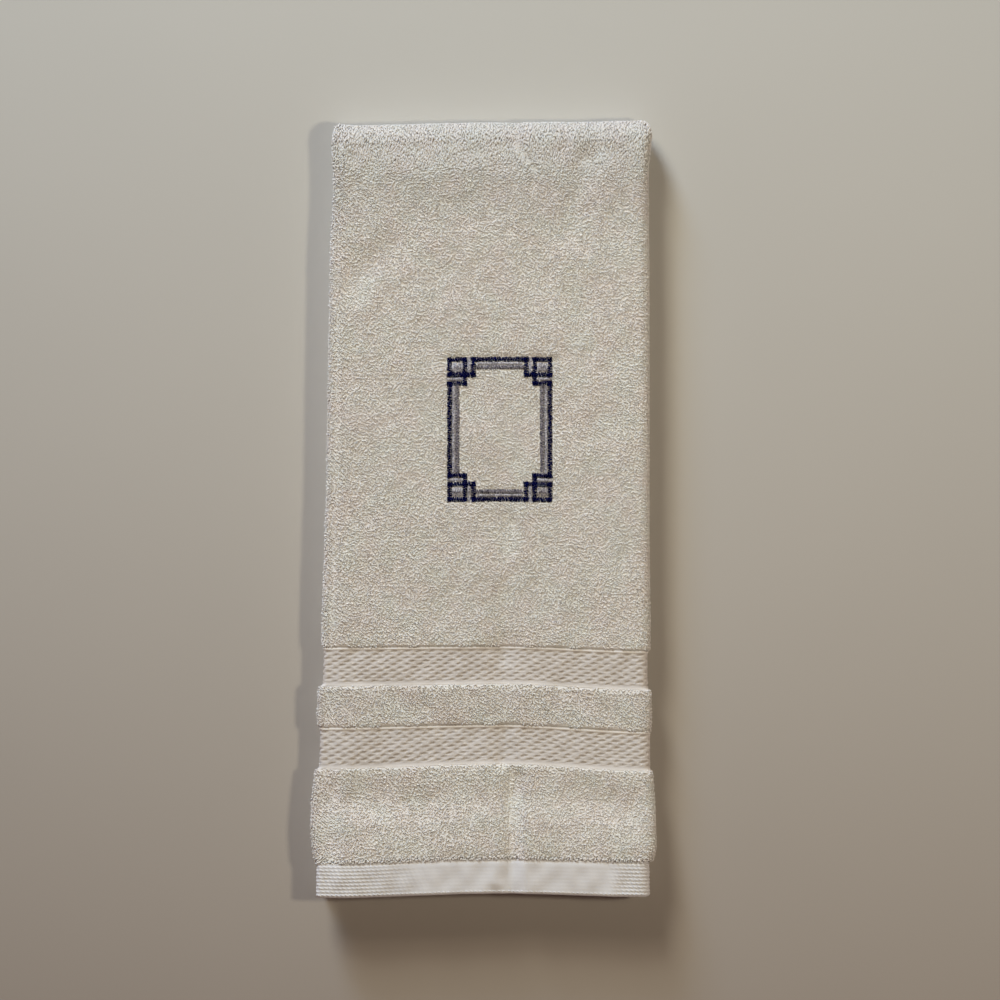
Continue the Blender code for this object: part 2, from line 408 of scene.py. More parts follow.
        nil = np.zeros_like(share)
        up = np.ones_like(share)
        out_x = np.choose(stretch, [nil, np.cos(left_turn), nil, np.cos(right_turn), nil])
        out_h = np.choose(stretch, [-up, np.sin(left_turn), up, np.sin(right_turn), -up])
        x = np.choose(
            stretch,
            [
                on_flap_a,
                left_centre + self.left_radius * out_x,
                on_face,
                right_centre + self.right_radius * out_x,
                on_flap_b,
            ],
        )
        low_middle = 0.5 * (self.face_height + self.flap_a_height) - sag_depth
        right_middle = 0.5 * (self.face_height + self.flap_b_height)
        height = np.choose(
            stretch,
            [
                self.flap_a_height - sag(on_flap_a),
                low_middle + self.left_radius * out_h,
                self.face_height - sag(on_face),
                right_middle + self.right_radius * out_h,
                self.flap_b_height + nil,
            ],
        )
        height = height * (1.0 - sink / self.face_height)

        y = self.line_y(along, (x - left) / (right - left))
        from_edge = np.minimum(x - left_centre, right_centre - x)
        raised = smooth_step(from_edge / self.relief_fade) * (stretch == Stretch.FACE)
        raised = raised * smooth_step((self.top_end - along) / (self.top_end - self.top_start))
        height = height + lift * out_h + raised * self.relief(x, y)
        angle = np.clip((along - self.top_start) / self.face_height, 0.0, math.pi)
        sine, cosine = np.sin(angle), np.cos(angle)
        points = np.stack(
            [x + lift * out_x, y + height * sine, self.middle + height * cosine], axis=-1
        )
        return Patch(
            points,
            np.stack([out_h, -out_x * sine, -out_x * cosine], axis=-1),
            np.stack([nil, cosine, -sine], axis=-1),
            np.stack([out_x, out_h * sine, out_h * cosine], axis=-1),
        )

    def on_face(self, x: Array, along: Array) -> Array:
        """The place across the cloth of each x on the face."""
        left, right, thick, _, _ = self.section(along)
        left_centre, right_centre = self.fold_centres(left, right, thick)
        return Stretch.FACE + (x - left_centre) / (right_centre - left_centre)

    def both_ends(self, zone: Zone) -> tuple[Zone, Zone]:
        """The same zone at the front hem and at the back hem, as distances along the cloth."""
        return zone, Zone(self.length - zone.end, self.length - zone.start)

    def woven_share(self, along: Array, soft: float = 0.6) -> Array:
        """1 on the flat woven borders and hems and just beyond them, and 0 where loops stand."""
        share = np.zeros_like(along)
        for zone in (*self.borders, self.hem_zone):
            for there in self.both_ends(zone):
                inside = np.minimum(along - there.start, there.end + self.recess - along)
                share = np.maximum(share, smooth_step(0.5 + inside / (2.0 * soft)))
        return share

    def near_top(self, y: Array) -> Array:
        """1 on the top fold, and 0 well below it."""
        return ramp_up(y, self.top_zone)

    def top_fold_shade(self, y: Array) -> Array:
        """How much the terry is darkened towards the top fold, as painted shade set against the
        photo.
        """
        steps = zip(self.top_shade_shares, self.top_shade_zones)
        return sum(share * ramp_up(y, zone) for share, zone in steps)


# ------------------------------------------------------------------ meshes


def add_object(name: str, data: Any) -> bpy.types.Object:
    """Adds an object to the scene for a mesh, a lamp or a camera."""
    made = bpy.data.objects.new(name, data)
    bpy.context.scene.collection.objects.link(made)
    return made


@dataclass
class Shape:
    """A mesh in the making: its corners, its faces, and values that each corner carries."""

    corners: list[Array] = field(default_factory=list)
    faces: list[Array] = field(default_factory=list)
    values: dict[str, list[Array]] = field(default_factory=dict)
    count: int = 0

    def add(self, corners: Array, faces: Sequence[Array], **values: Array) -> None:
        """Adds a part.

        Args:
            corners: its corners, in mm.
            faces: arrays of faces, each of one number of corners, that number the part's corners.
            values: one value for each corner, by the value's name.
        """
        corners = corners.reshape(-1, 3)
        self.corners.append(corners)
        self.faces += [np.asarray(group) + self.count for group in faces]
        for name, value in values.items():
            spread = np.broadcast_to(value, len(corners)) if np.ndim(value) < 2 else value.ravel()
            self.values.setdefault(name, []).append(spread)
        self.count += len(corners)

    def piece(self, name: str, material: bpy.types.Material, slot: str) -> bpy.types.Object:
        """Makes the piece, which rides on the towel's one body.

        Args:
            name: the piece's name.
            material: its finish.
            slot: the record's material slot that the finish belongs to; not used.

        Returns:
            The new object.
        """
        mesh = bpy.data.meshes.new(name)
        mesh.vertices.add(self.count)
        mesh.vertices.foreach_set("co", (np.concatenate(self.corners) * MM).ravel())
        indices = np.concatenate([group.ravel() for group in self.faces])
        sizes = np.concatenate([np.full(len(group), group.shape[1]) for group in self.faces])
        mesh.loops.add(len(indices))
        mesh.loops.foreach_set("vertex_index", indices)
        mesh.polygons.add(len(sizes))
        mesh.polygons.foreach_set("loop_start", np.concatenate([[0], np.cumsum(sizes)[:-1]]))
        mesh.update(calc_edges=True)
        mesh.shade_smooth()
        for value, parts in self.values.items():
            layer = mesh.attributes.new(value, "FLOAT", "POINT")
            layer.data.foreach_set("value", np.concatenate(parts).astype(np.float32))
        mesh.materials.append(material)
        made = add_object(name, mesh)
        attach(made, "root")
        log.info("%s: %d triangles", name, int(np.sum(sizes - 2)))
        return made


def tube_faces(count: int, points: int, sides: int) -> list[Array]:
    """The faces of many closed tubes: their walls, and a cap at each end.

    Args:
        count: how many tubes there are.
        points: how many points each tube's path has.
        sides: how many sides each tube has.

    Returns:
        The walls and the caps, as arrays of corner numbers.
    """
    ring, side = np.meshgrid(np.arange(points - 1), np.arange(sides), indexing="ij")
    after = (side + 1) % sides
    walls = [ring * sides + side, (ring + 1) * sides + side]
    walls += [(ring + 1) * sides + after, ring * sides + after]
    wall = np.stack(walls, axis=-1).reshape(-1, 4)
    caps = np.stack([np.arange(sides), (points - 1) * sides + np.arange(sides)[::-1]])
    shift = (np.arange(count) * points * sides)[:, None, None]
    return [(wall + shift).reshape(-1, 4), (caps + shift).reshape(-1, sides)]


def tube_corners(paths: Array, beside: Array, radius: Array, sides: int) -> Array:
    """The corners of many tubes.

    Args:
        paths: the points that each tube follows, as (tube, point, 3).
        beside: a direction across each tube's path, as (tube, 3).
        radius: the tube's radius at each point, as (tube, point) or anything that fits it.
        sides: how many sides each tube has.

    Returns:
        The corners as (tube, point, side, 3).
    """
    ahead = unit(np.gradient(paths, axis=1))
    out = unit(np.cross(ahead, beside[:, None, :]))
    turned = np.cross(out, ahead)
    angles = 2.0 * math.pi * np.arange(sides) / sides
    radius = np.broadcast_to(radius, paths.shape[:2])[..., None, None]
    ring = np.cos(angles)[:, None] * out[..., None, :]
    ring = ring + np.sin(angles)[:, None] * turned[..., None, :]
    return paths[..., None, :] + radius * ring


def arch_faces(count: int, sides: int) -> list[Array]:
    """The faces of many closed arches, each of two pointed feet and a ring of corners at its top.

    Args:
        count: how many arches there are.
        sides: how many corners each ring has.

    Returns:
        The faces, as one array of corner numbers. The feet come before the ring.
    """
    side = 2 + np.arange(sides)
    after = np.roll(side, -1)
    first = np.stack([np.zeros_like(side), side, after], axis=-1)
    second = np.stack([np.ones_like(side), after, side], axis=-1)
    shift = (np.arange(count) * (2 + sides))[:, None, None]
    return [(np.concatenate([first, second]) + shift).reshape(-1, 3)]


def closed_band(shape: Shape, points: Array, **values: Array) -> None:
    """Adds a band whose profile is a closed ring of points, swept from one end to the other.

    Args:
        shape: the mesh that it is added to.
        points: the corners as (place across, place round the profile, 3).
        values: one value for each corner, by the value's name.
    """
    columns, ring = points.shape[:2]
    column, place = np.meshgrid(np.arange(columns - 1), np.arange(ring), indexing="ij")
    after = (place + 1) % ring
    walls = [column * ring + place, (column + 1) * ring + place]
    walls += [(column + 1) * ring + after, column * ring + after]
    wall = np.stack(walls, axis=-1).reshape(-1, 4)
    first = np.arange(ring)[None, :]
    last = (columns - 1) * ring + np.arange(ring)[None, ::-1]
    shape.add(points, [wall, first, last], **values)


# ------------------------------------------------------------------ shader maths


class Graph:
    """The nodes of one material."""

    def __init__(self, name: str) -> None:
        """Starts a material whose Principled shader has nothing linked to it."""
        self.material = bpy.data.materials.new(name)
        self.material.use_nodes = True
        self.tree = self.material.node_tree
        self.shader = self.tree.nodes["Principled BSDF"]

    def node(self, kind: str, settings: dict, inputs: dict, output: Any = 0) -> "Signal":
        """Adds a node.

        Args:
            kind: the node's type.
            settings: its own settings, set before its sockets; "stops" are a ramp's.
            inputs: a value, colour or signal for each socket, by the socket's name or number.
            output: the name or number of the socket that is used.

        Returns:
            That output, as a signal.
        """
        made = self.tree.nodes.new(kind)
        for name, value in settings.items():
            if name == "stops":
                self.set_stops(made.color_ramp, value)
            else:
                setattr(made, name, value)
        for name, value in inputs.items():
            self.feed(made.inputs[name], value)
        return Signal(self, made.outputs[output])

    def set_stops(self, ramp: Any, stops: Sequence[tuple[float, Colour]]) -> None:
        """Gives a ramp its stops, each a place from 0 to 1 and a colour."""
        while len(ramp.elements) < len(stops):
            ramp.elements.new(1.0)
        for element, (place, colour) in zip(ramp.elements, stops):
            element.position = place
            element.color = (*colour, 1.0)

    def feed(self, socket: Any, value: Any) -> None:
        """Links a signal to a socket, or sets the socket's own value."""
        if isinstance(value, Signal):
            self.tree.links.new(value.socket, socket)
        elif socket.type == "RGBA":
            socket.default_value = (*value, 1.0)
        else:
            socket.default_value = value

    def attribute(self, name: str) -> "Signal":
        """A value that each corner of the mesh carries."""
        return self.node("ShaderNodeAttribute", {"attribute_name": name}, {}, "Fac")

    def place(self) -> "Signal":
        """The place on the object, in metres."""
        return self.node("ShaderNodeTexCoord", {}, {}, "Object")

    def noise(self, size: float, detail: float = 2.0) -> "Signal":
        """Soft noise from 0 to 1, whose spots are about size across, in mm."""
        inputs = {"Vector": self.place(), "Scale": 1.0 / (size * MM), "Detail": detail}
        return self.node("ShaderNodeTexNoise", {"noise_dimensions": "3D"}, inputs, "Fac")

    def blend(self, share: Any, first: Any, second: Any) -> "Signal":
        """A colour a share of the way from the first to the second."""
        inputs = {0: share, 6: first, 7: second}
        return self.node("ShaderNodeMix", {"data_type": "RGBA"}, inputs, 2)

    def tint(self, colour: Any, strength: "Signal") -> "Signal":
        """A colour times a strength."""
        inputs = {0: colour, "Scale": strength}
        return self.node("ShaderNodeVectorMath", {"operation": "SCALE"}, inputs)

    def dye(self, colour: Any, other: Any) -> "Signal":
        """A colour times another, channel by channel."""
        return self.node("ShaderNodeVectorMath", {"operation": "MULTIPLY"}, {0: colour, 1: other})

    def share_between(self, value: "Signal", low: float, high: float) -> "Signal":
        """How far a value is on its way from low to high, from 0 to 1."""
        inputs = {"Value": value, "From Min": low, "From Max": high}
        return self.node("ShaderNodeMapRange", {}, inputs)

    def bump(self, height: "Signal", depth: float, strength: float = 1.0) -> None:
        """Bumps the shader's surface by a height from 0 to 1 times a depth in mm."""
        inputs = {"Height": height, "Distance": depth * MM, "Strength": strength}
        self.feed(self.shader.inputs["Normal"], self.node("ShaderNodeBump", {}, inputs))

    def dress(self, **sockets: Any) -> bpy.types.Material:
        """Sets the shader's sockets, with _ for each space in a name, and gives the material."""
        for name, value in sockets.items():
            self.feed(self.shader.inputs[name.replace("_", " ")], value)
        return self.material


class Signal:
    """A value in a material's nodes that can be written in an expression."""

    def __init__(self, graph: Graph, socket: Any) -> None:
        """Wraps an output socket of the graph."""
        self.graph = graph
        self.socket = socket

    def math(self, operation: str, *values: Any) -> "Signal":
        """The Math node of that operation on these values."""
        inputs = dict(enumerate(values))
        return self.graph.node("ShaderNodeMath", {"operation": operation}, inputs)

    def __add__(self, other: Any) -> "Signal":
        """self + other."""
        return self.math("ADD", self, other)

    __radd__ = __add__

    def __mul__(self, other: Any) -> "Signal":
        """self * other."""
        return self.math("MULTIPLY", self, other)

    __rmul__ = __mul__

    def __sub__(self, other: Any) -> "Signal":
        """self - other."""
        return self.math("SUBTRACT", self, other)

    def __rsub__(self, other: Any) -> "Signal":
        """other - self."""
        return self.math("SUBTRACT", other, self)

    def sine(self) -> "Signal":
        """The sine of the value."""
        return self.math("SINE", self)


# ------------------------------------------------------------------ finishes


@dataclass(frozen=True)
class TerryFinish:
    """Off-white cotton loops: matt, a little fuzzy, with painted shade down at their roots."""

    name: str = "White terry"
    # The root colour, darker than the tip, is painted shade down among the loops.
    tip: Colour = (0.99, 0.95, 0.925)
    root: Colour = (0.89, 0.85, 0.825)
    cool: Colour = (0.98, 1.0, 0.99)
    warm: Colour = (1.0, 0.98, 0.98)
    patch_size: float = 11.0
    patch_stops: tuple[float, float] = (0.35, 0.65)
    loop_uneven: float = 0.15
    strand_size: float = 0.6
    fibre_size: float = 0.25
    fibre_share: float = 0.3
    fibre_depth: float = 0.10

    def make(self) -> bpy.types.Material:
        """Builds the material."""
        graph = Graph(self.name)
        colour = graph.blend(graph.attribute("height"), self.root, self.tip)
        ramp = {"stops": tuple(zip(self.patch_stops, (self.cool, self.warm)))}
        spots = {"Fac": graph.noise(self.patch_size, 3.0)}
        patches = graph.node("ShaderNodeValToRGB", ramp, spots)
        loops = 1.0 - self.loop_uneven + graph.attribute("tone") * self.loop_uneven
        strands = graph.noise(self.strand_size, 1.0) * (1.0 - self.fibre_share)
        grain = strands + graph.noise(self.fibre_size, 2.0) * self.fibre_share
        graph.bump(grain, self.fibre_depth, 0.6)
        return graph.dress(
            Base_Color=graph.tint(graph.dye(colour, patches), loops),
            Roughness=0.92,
            Specular_IOR_Level=0.2,
            Sheen_Weight=0.12,
            Sheen_Roughness=0.6,
        )


@dataclass(frozen=True)
class WovenFinish:
    """Off-white cotton woven flat: fine threads both ways, with painted shade in its colour for
    the weave's small shadows, more in the hollows, and a painted highlight on the rib.
    """

    name: str = "Woven cotton"
    # The colour is darkened as painted shade of the weave's small shadows; the hollow colour is
    # painted shade in the hollows, and the rib colour a painted highlight.
    colour: Colour = (0.71, 0.655, 0.63)
    hollow: Colour = (0.57, 0.515, 0.48)
    rib: Colour = (0.95, 0.90, 0.86)
    rib_highlight_sharpness: float = 2.5
    thread_pitch: float = 0.55
    patch_size: float = 6.0
    uneven: float = 0.06
    fibre_size: float = 0.35
    fibre_share: float = 0.4
    fibre_depth: float = 0.10

    def make(self) -> bpy.types.Material:
        """Builds the material."""
        graph = Graph(self.name)
        turns = 2.0 * math.pi / self.thread_pitch
        across = (graph.attribute("across_mm") * turns).sine()
        along = (graph.attribute("along_mm") * turns).sine()
        threads = across * along * 0.25 + 0.5
        height = graph.attribute("height")
        colour = graph.blend(height, self.hollow, self.colour)
        colour = graph.blend((height - 1.0) * self.rib_highlight_sharpness, colour, self.rib)
        patches = 1.0 - self.uneven + graph.noise(self.patch_size) * self.uneven * 2.0
        woven = threads * (1.0 - self.fibre_share)
        fibres = graph.noise(self.fibre_size, 3.0) * self.fibre_share
        graph.bump(woven + fibres, self.fibre_depth, 0.7)
        return graph.dress(
            Base_Color=graph.tint(colour, patches * (0.97 + threads * 0.06)),
            Roughness=0.85,
            Specular_IOR_Level=0.25,
            Sheen_Weight=0.08,
        )


@dataclass(frozen=True)
class ThreadFinish:
    """Embroidery thread: smooth and slightly shiny, a little uneven from stitch to stitch."""

    name: str
    dark: Colour
    light: Colour
    roughness: float = 0.7
    shine: float = 0.12
    speck: float = 0.7
    speck_contrast: float = 3.2
    lightness: float = 0.3
    stitch_uneven: float = 0.4
    fibre_size: float = 0.12
    fibre_depth: float = 0.05

    def make(self) -> bpy.types.Material:
        """Builds the material."""
        graph = Graph(self.name)
        specks = (graph.noise(self.speck, 1.0) - 0.5) * self.speck_contrast
        patches = specks + self.lightness + graph.attribute("tone") * self.stitch_uneven
        graph.bump(graph.noise(self.fibre_size, 2.0), self.fibre_depth, 0.6)
        return graph.dress(
            Base_Color=graph.blend(patches, self.dark, self.light),
            Roughness=self.roughness,
            Specular_IOR_Level=self.shine,
        )


@dataclass(frozen=True)
class FloorFinish:
    """A plain pale warm surface, with painted shade that makes it a little darker towards the
    viewer and away from the towel.
    """

    # Painted shade: darker towards the viewer (near) than away (far), and darker away from the
    # towel.
    near: Colour = (0.45, 0.39, 0.35)
    far: Colour = (0.67, 0.655, 0.63)
    reach: float = 0.22
    inner: float = 0.06
    outer: float = 0.32
    painted_falloff: float = 0.12
    uneven: float = 0.03
    patch_size: float = 90.0

    def make(self) -> bpy.types.Material:
        """Builds the material."""
        graph = Graph("Pale surface")
        along = graph.node("ShaderNodeSeparateXYZ", {}, {"Vector": graph.place()}, "Y")
        share = graph.share_between(along, -self.reach, self.reach)
        colour = graph.blend(share, self.near, self.far)
        length = {"operation": "LENGTH"}
        away = graph.node("ShaderNodeVectorMath", length, {0: graph.place()}, "Value")
        falloff_share = graph.share_between(away, self.inner, self.outer)
        patches = 1.0 - self.uneven + graph.noise(self.patch_size) * self.uneven
        return graph.dress(
            Base_Color=graph.tint(colour, patches * (1.0 - falloff_share * self.painted_falloff)),
            Roughness=0.7,
            Specular_IOR_Level=0.2,
        )


class Finish(Enum):
    """The finishes of the towel's pieces, each with its slot in the record."""

    TERRY = ("terry", TerryFinish())
    WOVEN = ("woven_cotton", WovenFinish())
    # The hem's cotton is lighter and bluer than the borders', which paints in the cool light on
    # it.
    HEM = ("woven_cotton", WovenFinish("Hem cotton", (0.82, 0.80, 0.825), (0.70, 0.675, 0.68)))
    NAVY = (
        "navy_thread",
        ThreadFinish("Navy thread", (0.0005, 0.0008, 0.012), (0.004, 0.007, 0.08), shine=0.02),
    )
    LILAC = ("lilac_thread", ThreadFinish("Lilac thread", (0.24, 0.23, 0.28), (0.76, 0.73, 0.79)))
    GREY = (
        "lilac_thread",
        ThreadFinish("Grey lilac thread", (0.06, 0.055, 0.075), (0.36, 0.33, 0.38)),
    )

    def __init__(self, slot: str, recipe: Any) -> None:
        """Keeps the slot and the recipe."""
        self.slot = slot
        self.recipe = recipe

    def piece(self, shape: Shape, name: str) -> bpy.types.Object:
        """Makes a piece of this finish from a shape."""
        made = bpy.data.materials.get(self.recipe.name) or self.recipe.make()
        return shape.piece(name, made, self.slot)


# ------------------------------------------------------------------ the towel's pieces


@dataclass
class GroundCloth:
    """The cloth that carries the loops: one closed sheet, folded as the towel is."""

    cloth: FoldedCloth
    columns: tuple[int, ...] = (5, 8, 50, 11, 5)
    row_step: float = 3.4
    edge_step: float = 0.5
    shown_lift: float = 0.74
    top_lift: float = 0.28
    hidden_lift: float = 1.4
    woven_lift: float = 0.25
    shown_fade: float = 0.12
    end_margin: float = 1.0
    # Painted shade in the recess beside each woven band.
    recess_shade: float = -1.2
    # The ground's colour lies between the loops' root and tip colours: painted shade between the
    # loops.
    ground_shade_height: float = 0.35
    rough: float = 0.12
    inner_smooth: float = 0.6
    seed: int = 11

    def across_places(self) -> Array:
        """Places across the cloth, from one free edge to the other."""
        stretches = [
            stretch + np.arange(count) / count for stretch, count in zip(Stretch, self.columns)
        ]
        return np.concatenate([*stretches, [float(len(Stretch))]])

    def along_places(self) -> Array:
        """Places along the cloth, closer together where the loops begin and end."""
        cloth = self.cloth
        first, last = self.end_margin, cloth.length - self.end_margin
        places = list(np.arange(first, last, self.row_step))
        for zone in (*cloth.borders, cloth.hem_zone):
            for there in cloth.both_ends(zone):
                for edge in (there.start, there.end + cloth.recess):
                    places += [edge - self.edge_step, edge, edge + self.edge_step]
        places = np.unique(np.round(places, 2))
        return places[(places >= first) & (places <= last)]

    def lifts(self, across: Array, along: Array) -> tuple[Array, Array]:
        """How far the outer and the inner side lie from the middle of the cloth."""
        draw = np.random.default_rng(self.seed)
        rough = draw.normal(0.0, self.rough, (2, *np.broadcast(across, along).shape))
        shown = shown_share(across, self.shown_fade)
        woven = self.cloth.woven_share(along)
        y = self.cloth.place(across, along).points[..., 1]
        lift = self.shown_lift + self.top_lift * self.cloth.near_top(y)
        outer = mix(self.hidden_lift + rough[0], lift, shown)
        inner = -self.hidden_lift + rough[1] * (1.0 - self.inner_smooth * shown)
        return mix(outer, self.woven_lift, woven), mix(inner, -self.woven_lift, woven)

    def build(self) -> bpy.types.Object:
        across = self.across_places()[:, None]
        along = self.along_places()[None, :]
        across, along = np.broadcast_arrays(across, along)
        outer, inner = self.lifts(across, along)
        top = self.cloth.place(across, along, outer).points
        under = self.cloth.place(across, along, inner).points
        shape = Shape()
        ring = np.concatenate([top, under[:, ::-1]], axis=1)
        # Painted shade: the ground is darkened towards the top fold, and more in the recess beside
        # each woven band.
        tone = 0.5 - self.cloth.top_fold_shade(top[..., 1])
        tone = mix(tone, self.recess_shade, self.cloth.woven_share(along))
        tone = np.concatenate([tone, tone[:, ::-1]], axis=1)
        # The ground takes a colour between root and tip, as painted shade between the loops.
        closed_band(shape, ring, height=np.full(ring.shape[:2], self.ground_shade_height), tone=tone)
        made = Finish.TERRY.piece(shape, "towel_ground")
        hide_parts("towel")
        return made


@dataclass
class WovenBand:
    """A flat woven band across the cloth, whose pattern stands out of it."""

    cloth: FoldedCloth
    name: str
    zone: Zone
    half: float = 0.5 * WEAVE
    face_step: float = 0.55
    row_step: float = 0.29
    inner_rows: int = 5
    flap_columns: int = 12
    fold_columns: tuple[int, int] = (12, 22)
    overlap: tuple[float, float] = (1.0, 0.4)
    edges: tuple[float, float] = (1.3, 0.4)
    edge_share: float = 0.35
    flap_a_width: float = 120.0
    face_width: float = 141.0
    depth: float = 0.0
    hidden_depth_share: float = 0.6
    inner_height: float = 0.6
    shown_fade: float = 0.1
    finish: Finish = Finish.WOVEN

    def face_places(self) -> Array:
        """Places across the face, as shares of it."""
        count = round(self.face_width / self.face_step)
        return np.arange(count) / count

    def across_places(self) -> Array:
        """Places across the cloth, close together on its face."""
        flap = np.arange(self.flap_columns) / self.flap_columns
        left, right = (np.arange(count) / count for count in self.fold_columns)
        shares = (flap, left, self.face_places(), right, flap)
        stretches = [stretch + share for stretch, share in zip(Stretch, shares)]
        return np.concatenate([*stretches, [float(len(Stretch))]])

    def stretch_ends(self) -> Array:
        """The distances of the stretches' ends from the left end of the face, on the cloth."""
        left = math.pi * self.cloth.left_radius
        right = math.pi * self.cloth.right_radius
        flap_a, flap_b = self.flap_a_width, self.cloth.flap_b_width
        return np.cumsum([0.0, flap_a, left, self.face_width, right, flap_b]) - flap_a - left

    def trim(self, shape: Shape) -> None:
        """Adds what stands on the band: nothing on a plain one."""

    def pattern(self, x: Array, up: Array) -> Array:
        """How far the pattern stands out at each place, as a share of its depth."""
        raise NotImplementedError

    def profile(self) -> tuple[Array, Array]:
        """The places along of the band's outer side, and those of its inner side coming back."""
        start = self.zone.start - self.overlap[0]
        end = self.zone.end + self.overlap[1]
        outer = np.linspace(start, end, round((end - start) / self.row_step) + 1)
        inner = np.linspace(end, start, self.inner_rows)
        return outer, inner

    def edge_round(self, along: Array) -> Array:
        """0 at the band's edges and 1 away from them."""
        low, high = self.edges
        return smooth_step(np.minimum((along - along.min()) / low, (along.max() - along) / high))

    def build(self) -> bpy.types.Object:
        """Makes the band."""
        across = self.across_places()[:, None]
        outer, inner = (places[None, :] for places in self.profile())
        x = np.interp(across, STRETCH_ENDS, self.stretch_ends())
        shown = shown_share(across, self.shown_fade)
        pattern = self.pattern(x, outer - self.zone.start)
        rise = self.depth * (pattern - 0.5) * mix(self.hidden_depth_share, 1.0, shown)
        lift = (self.half + rise) * mix(self.edge_share, 1.0, self.edge_round(outer))
        sunk = -self.half * mix(self.edge_share, 1.0, self.edge_round(inner))
        top = self.cloth.place(across, outer, lift)
        under = self.cloth.place(across, inner, sunk)
        inner_heights = np.full((len(across), inner.size), self.inner_height)
        heights = np.concatenate([np.broadcast_to(pattern, lift.shape), inner_heights], axis=1)
        ring = np.concatenate([top.points, under.points], axis=1)
        along_mm = np.broadcast_to(np.concatenate([outer, inner], axis=1), ring.shape[:2])
        across_mm = np.broadcast_to(x, ring.shape[:2])
        shape = Shape()
        closed_band(shape, ring, height=heights, across_mm=across_mm, along_mm=along_mm)
        self.trim(shape)
        return self.finish.piece(shape, self.name)


@dataclass
class Border(WovenBand):
    """A dobby border: rows of short hollows, each row half a repeat on from the last."""

    depth: float = 0.36
    repeat: float = 5.9
    row_pitch: float = 1.47
    row_wander: float = 0.2
    wander_squash: float = 3.0
    row_shift: float = 0.35
    row_shift_turn: float = 1.7
    half_length: float = 2.05
    half_height: float = 0.68
    hollow_slope: float = 1.5
    hollow_rim: float = 0.15
    shear: float = 0.10
    first_row: float = 1.45
    ground: float = 0.85
    swell: float = 0.12
    rib_at: float = 0.35
    rib_width: float = 0.32
    rib_rise: float = 0.8
    low_rib_share: float = 0.5
    low_rib_width: float = 0.8
    tallest: float = 1.6
    plain: float = 0.72
    plain_edges: tuple[float, float] = (1.6, 0.6)
    plain_fades: tuple[float, float] = (0.4, 0.3)
    wander: Ripples = field(default_factory=lambda: Ripples(7, 7.0, 30.0, 0.35))
    strands: Ripples = field(default_factory=lambda: Ripples(8, 0.9, 2.6, 0.18, 24))

    def pattern(self, x: Array, up: Array) -> Array:
        """The braided ground between the hollows, with a plain rib at each edge."""
        height = self.zone.end - self.zone.start
        shift = self.wander.at(x, up * self.wander_squash)
        rows = (up - (height - self.first_row) + self.row_wander * shift) / self.row_pitch
        row = np.round(rows)
        from_row = (rows - row) * self.row_pitch
        shifted = x + shift + self.row_shift * np.sin(row * self.row_shift_turn)
        place = shifted / self.repeat + 0.5 * (row % 2)
        from_place = (place - np.round(place)) * self.repeat
        from_row = from_row - self.shear * from_place
        near = 1.0 - (np.abs(from_place) / self.half_length + np.abs(from_row) / self.half_height)
        hollow = smooth_step(near * self.hollow_slope + self.hollow_rim)
        swell = self.swell * np.cos(2.0 * math.pi * from_place / self.repeat)
        body = self.ground - self.ground * hollow - swell + self.strands.at(x, up)
        low, high = self.plain_edges
        low_fade, high_fade = self.plain_fades
        inside = smooth_step((up - low) / low_fade) * smooth_step((height - up - high) / high_fade)
        rib = np.exp(-(((height - up - self.rib_at) / self.rib_width) ** 2))
        rib = rib + self.low_rib_share * smooth_step((low - up) / self.low_rib_width)
        return np.clip(mix(self.plain, body, inside) + self.rib_rise * rib, 0.0, self.tallest)


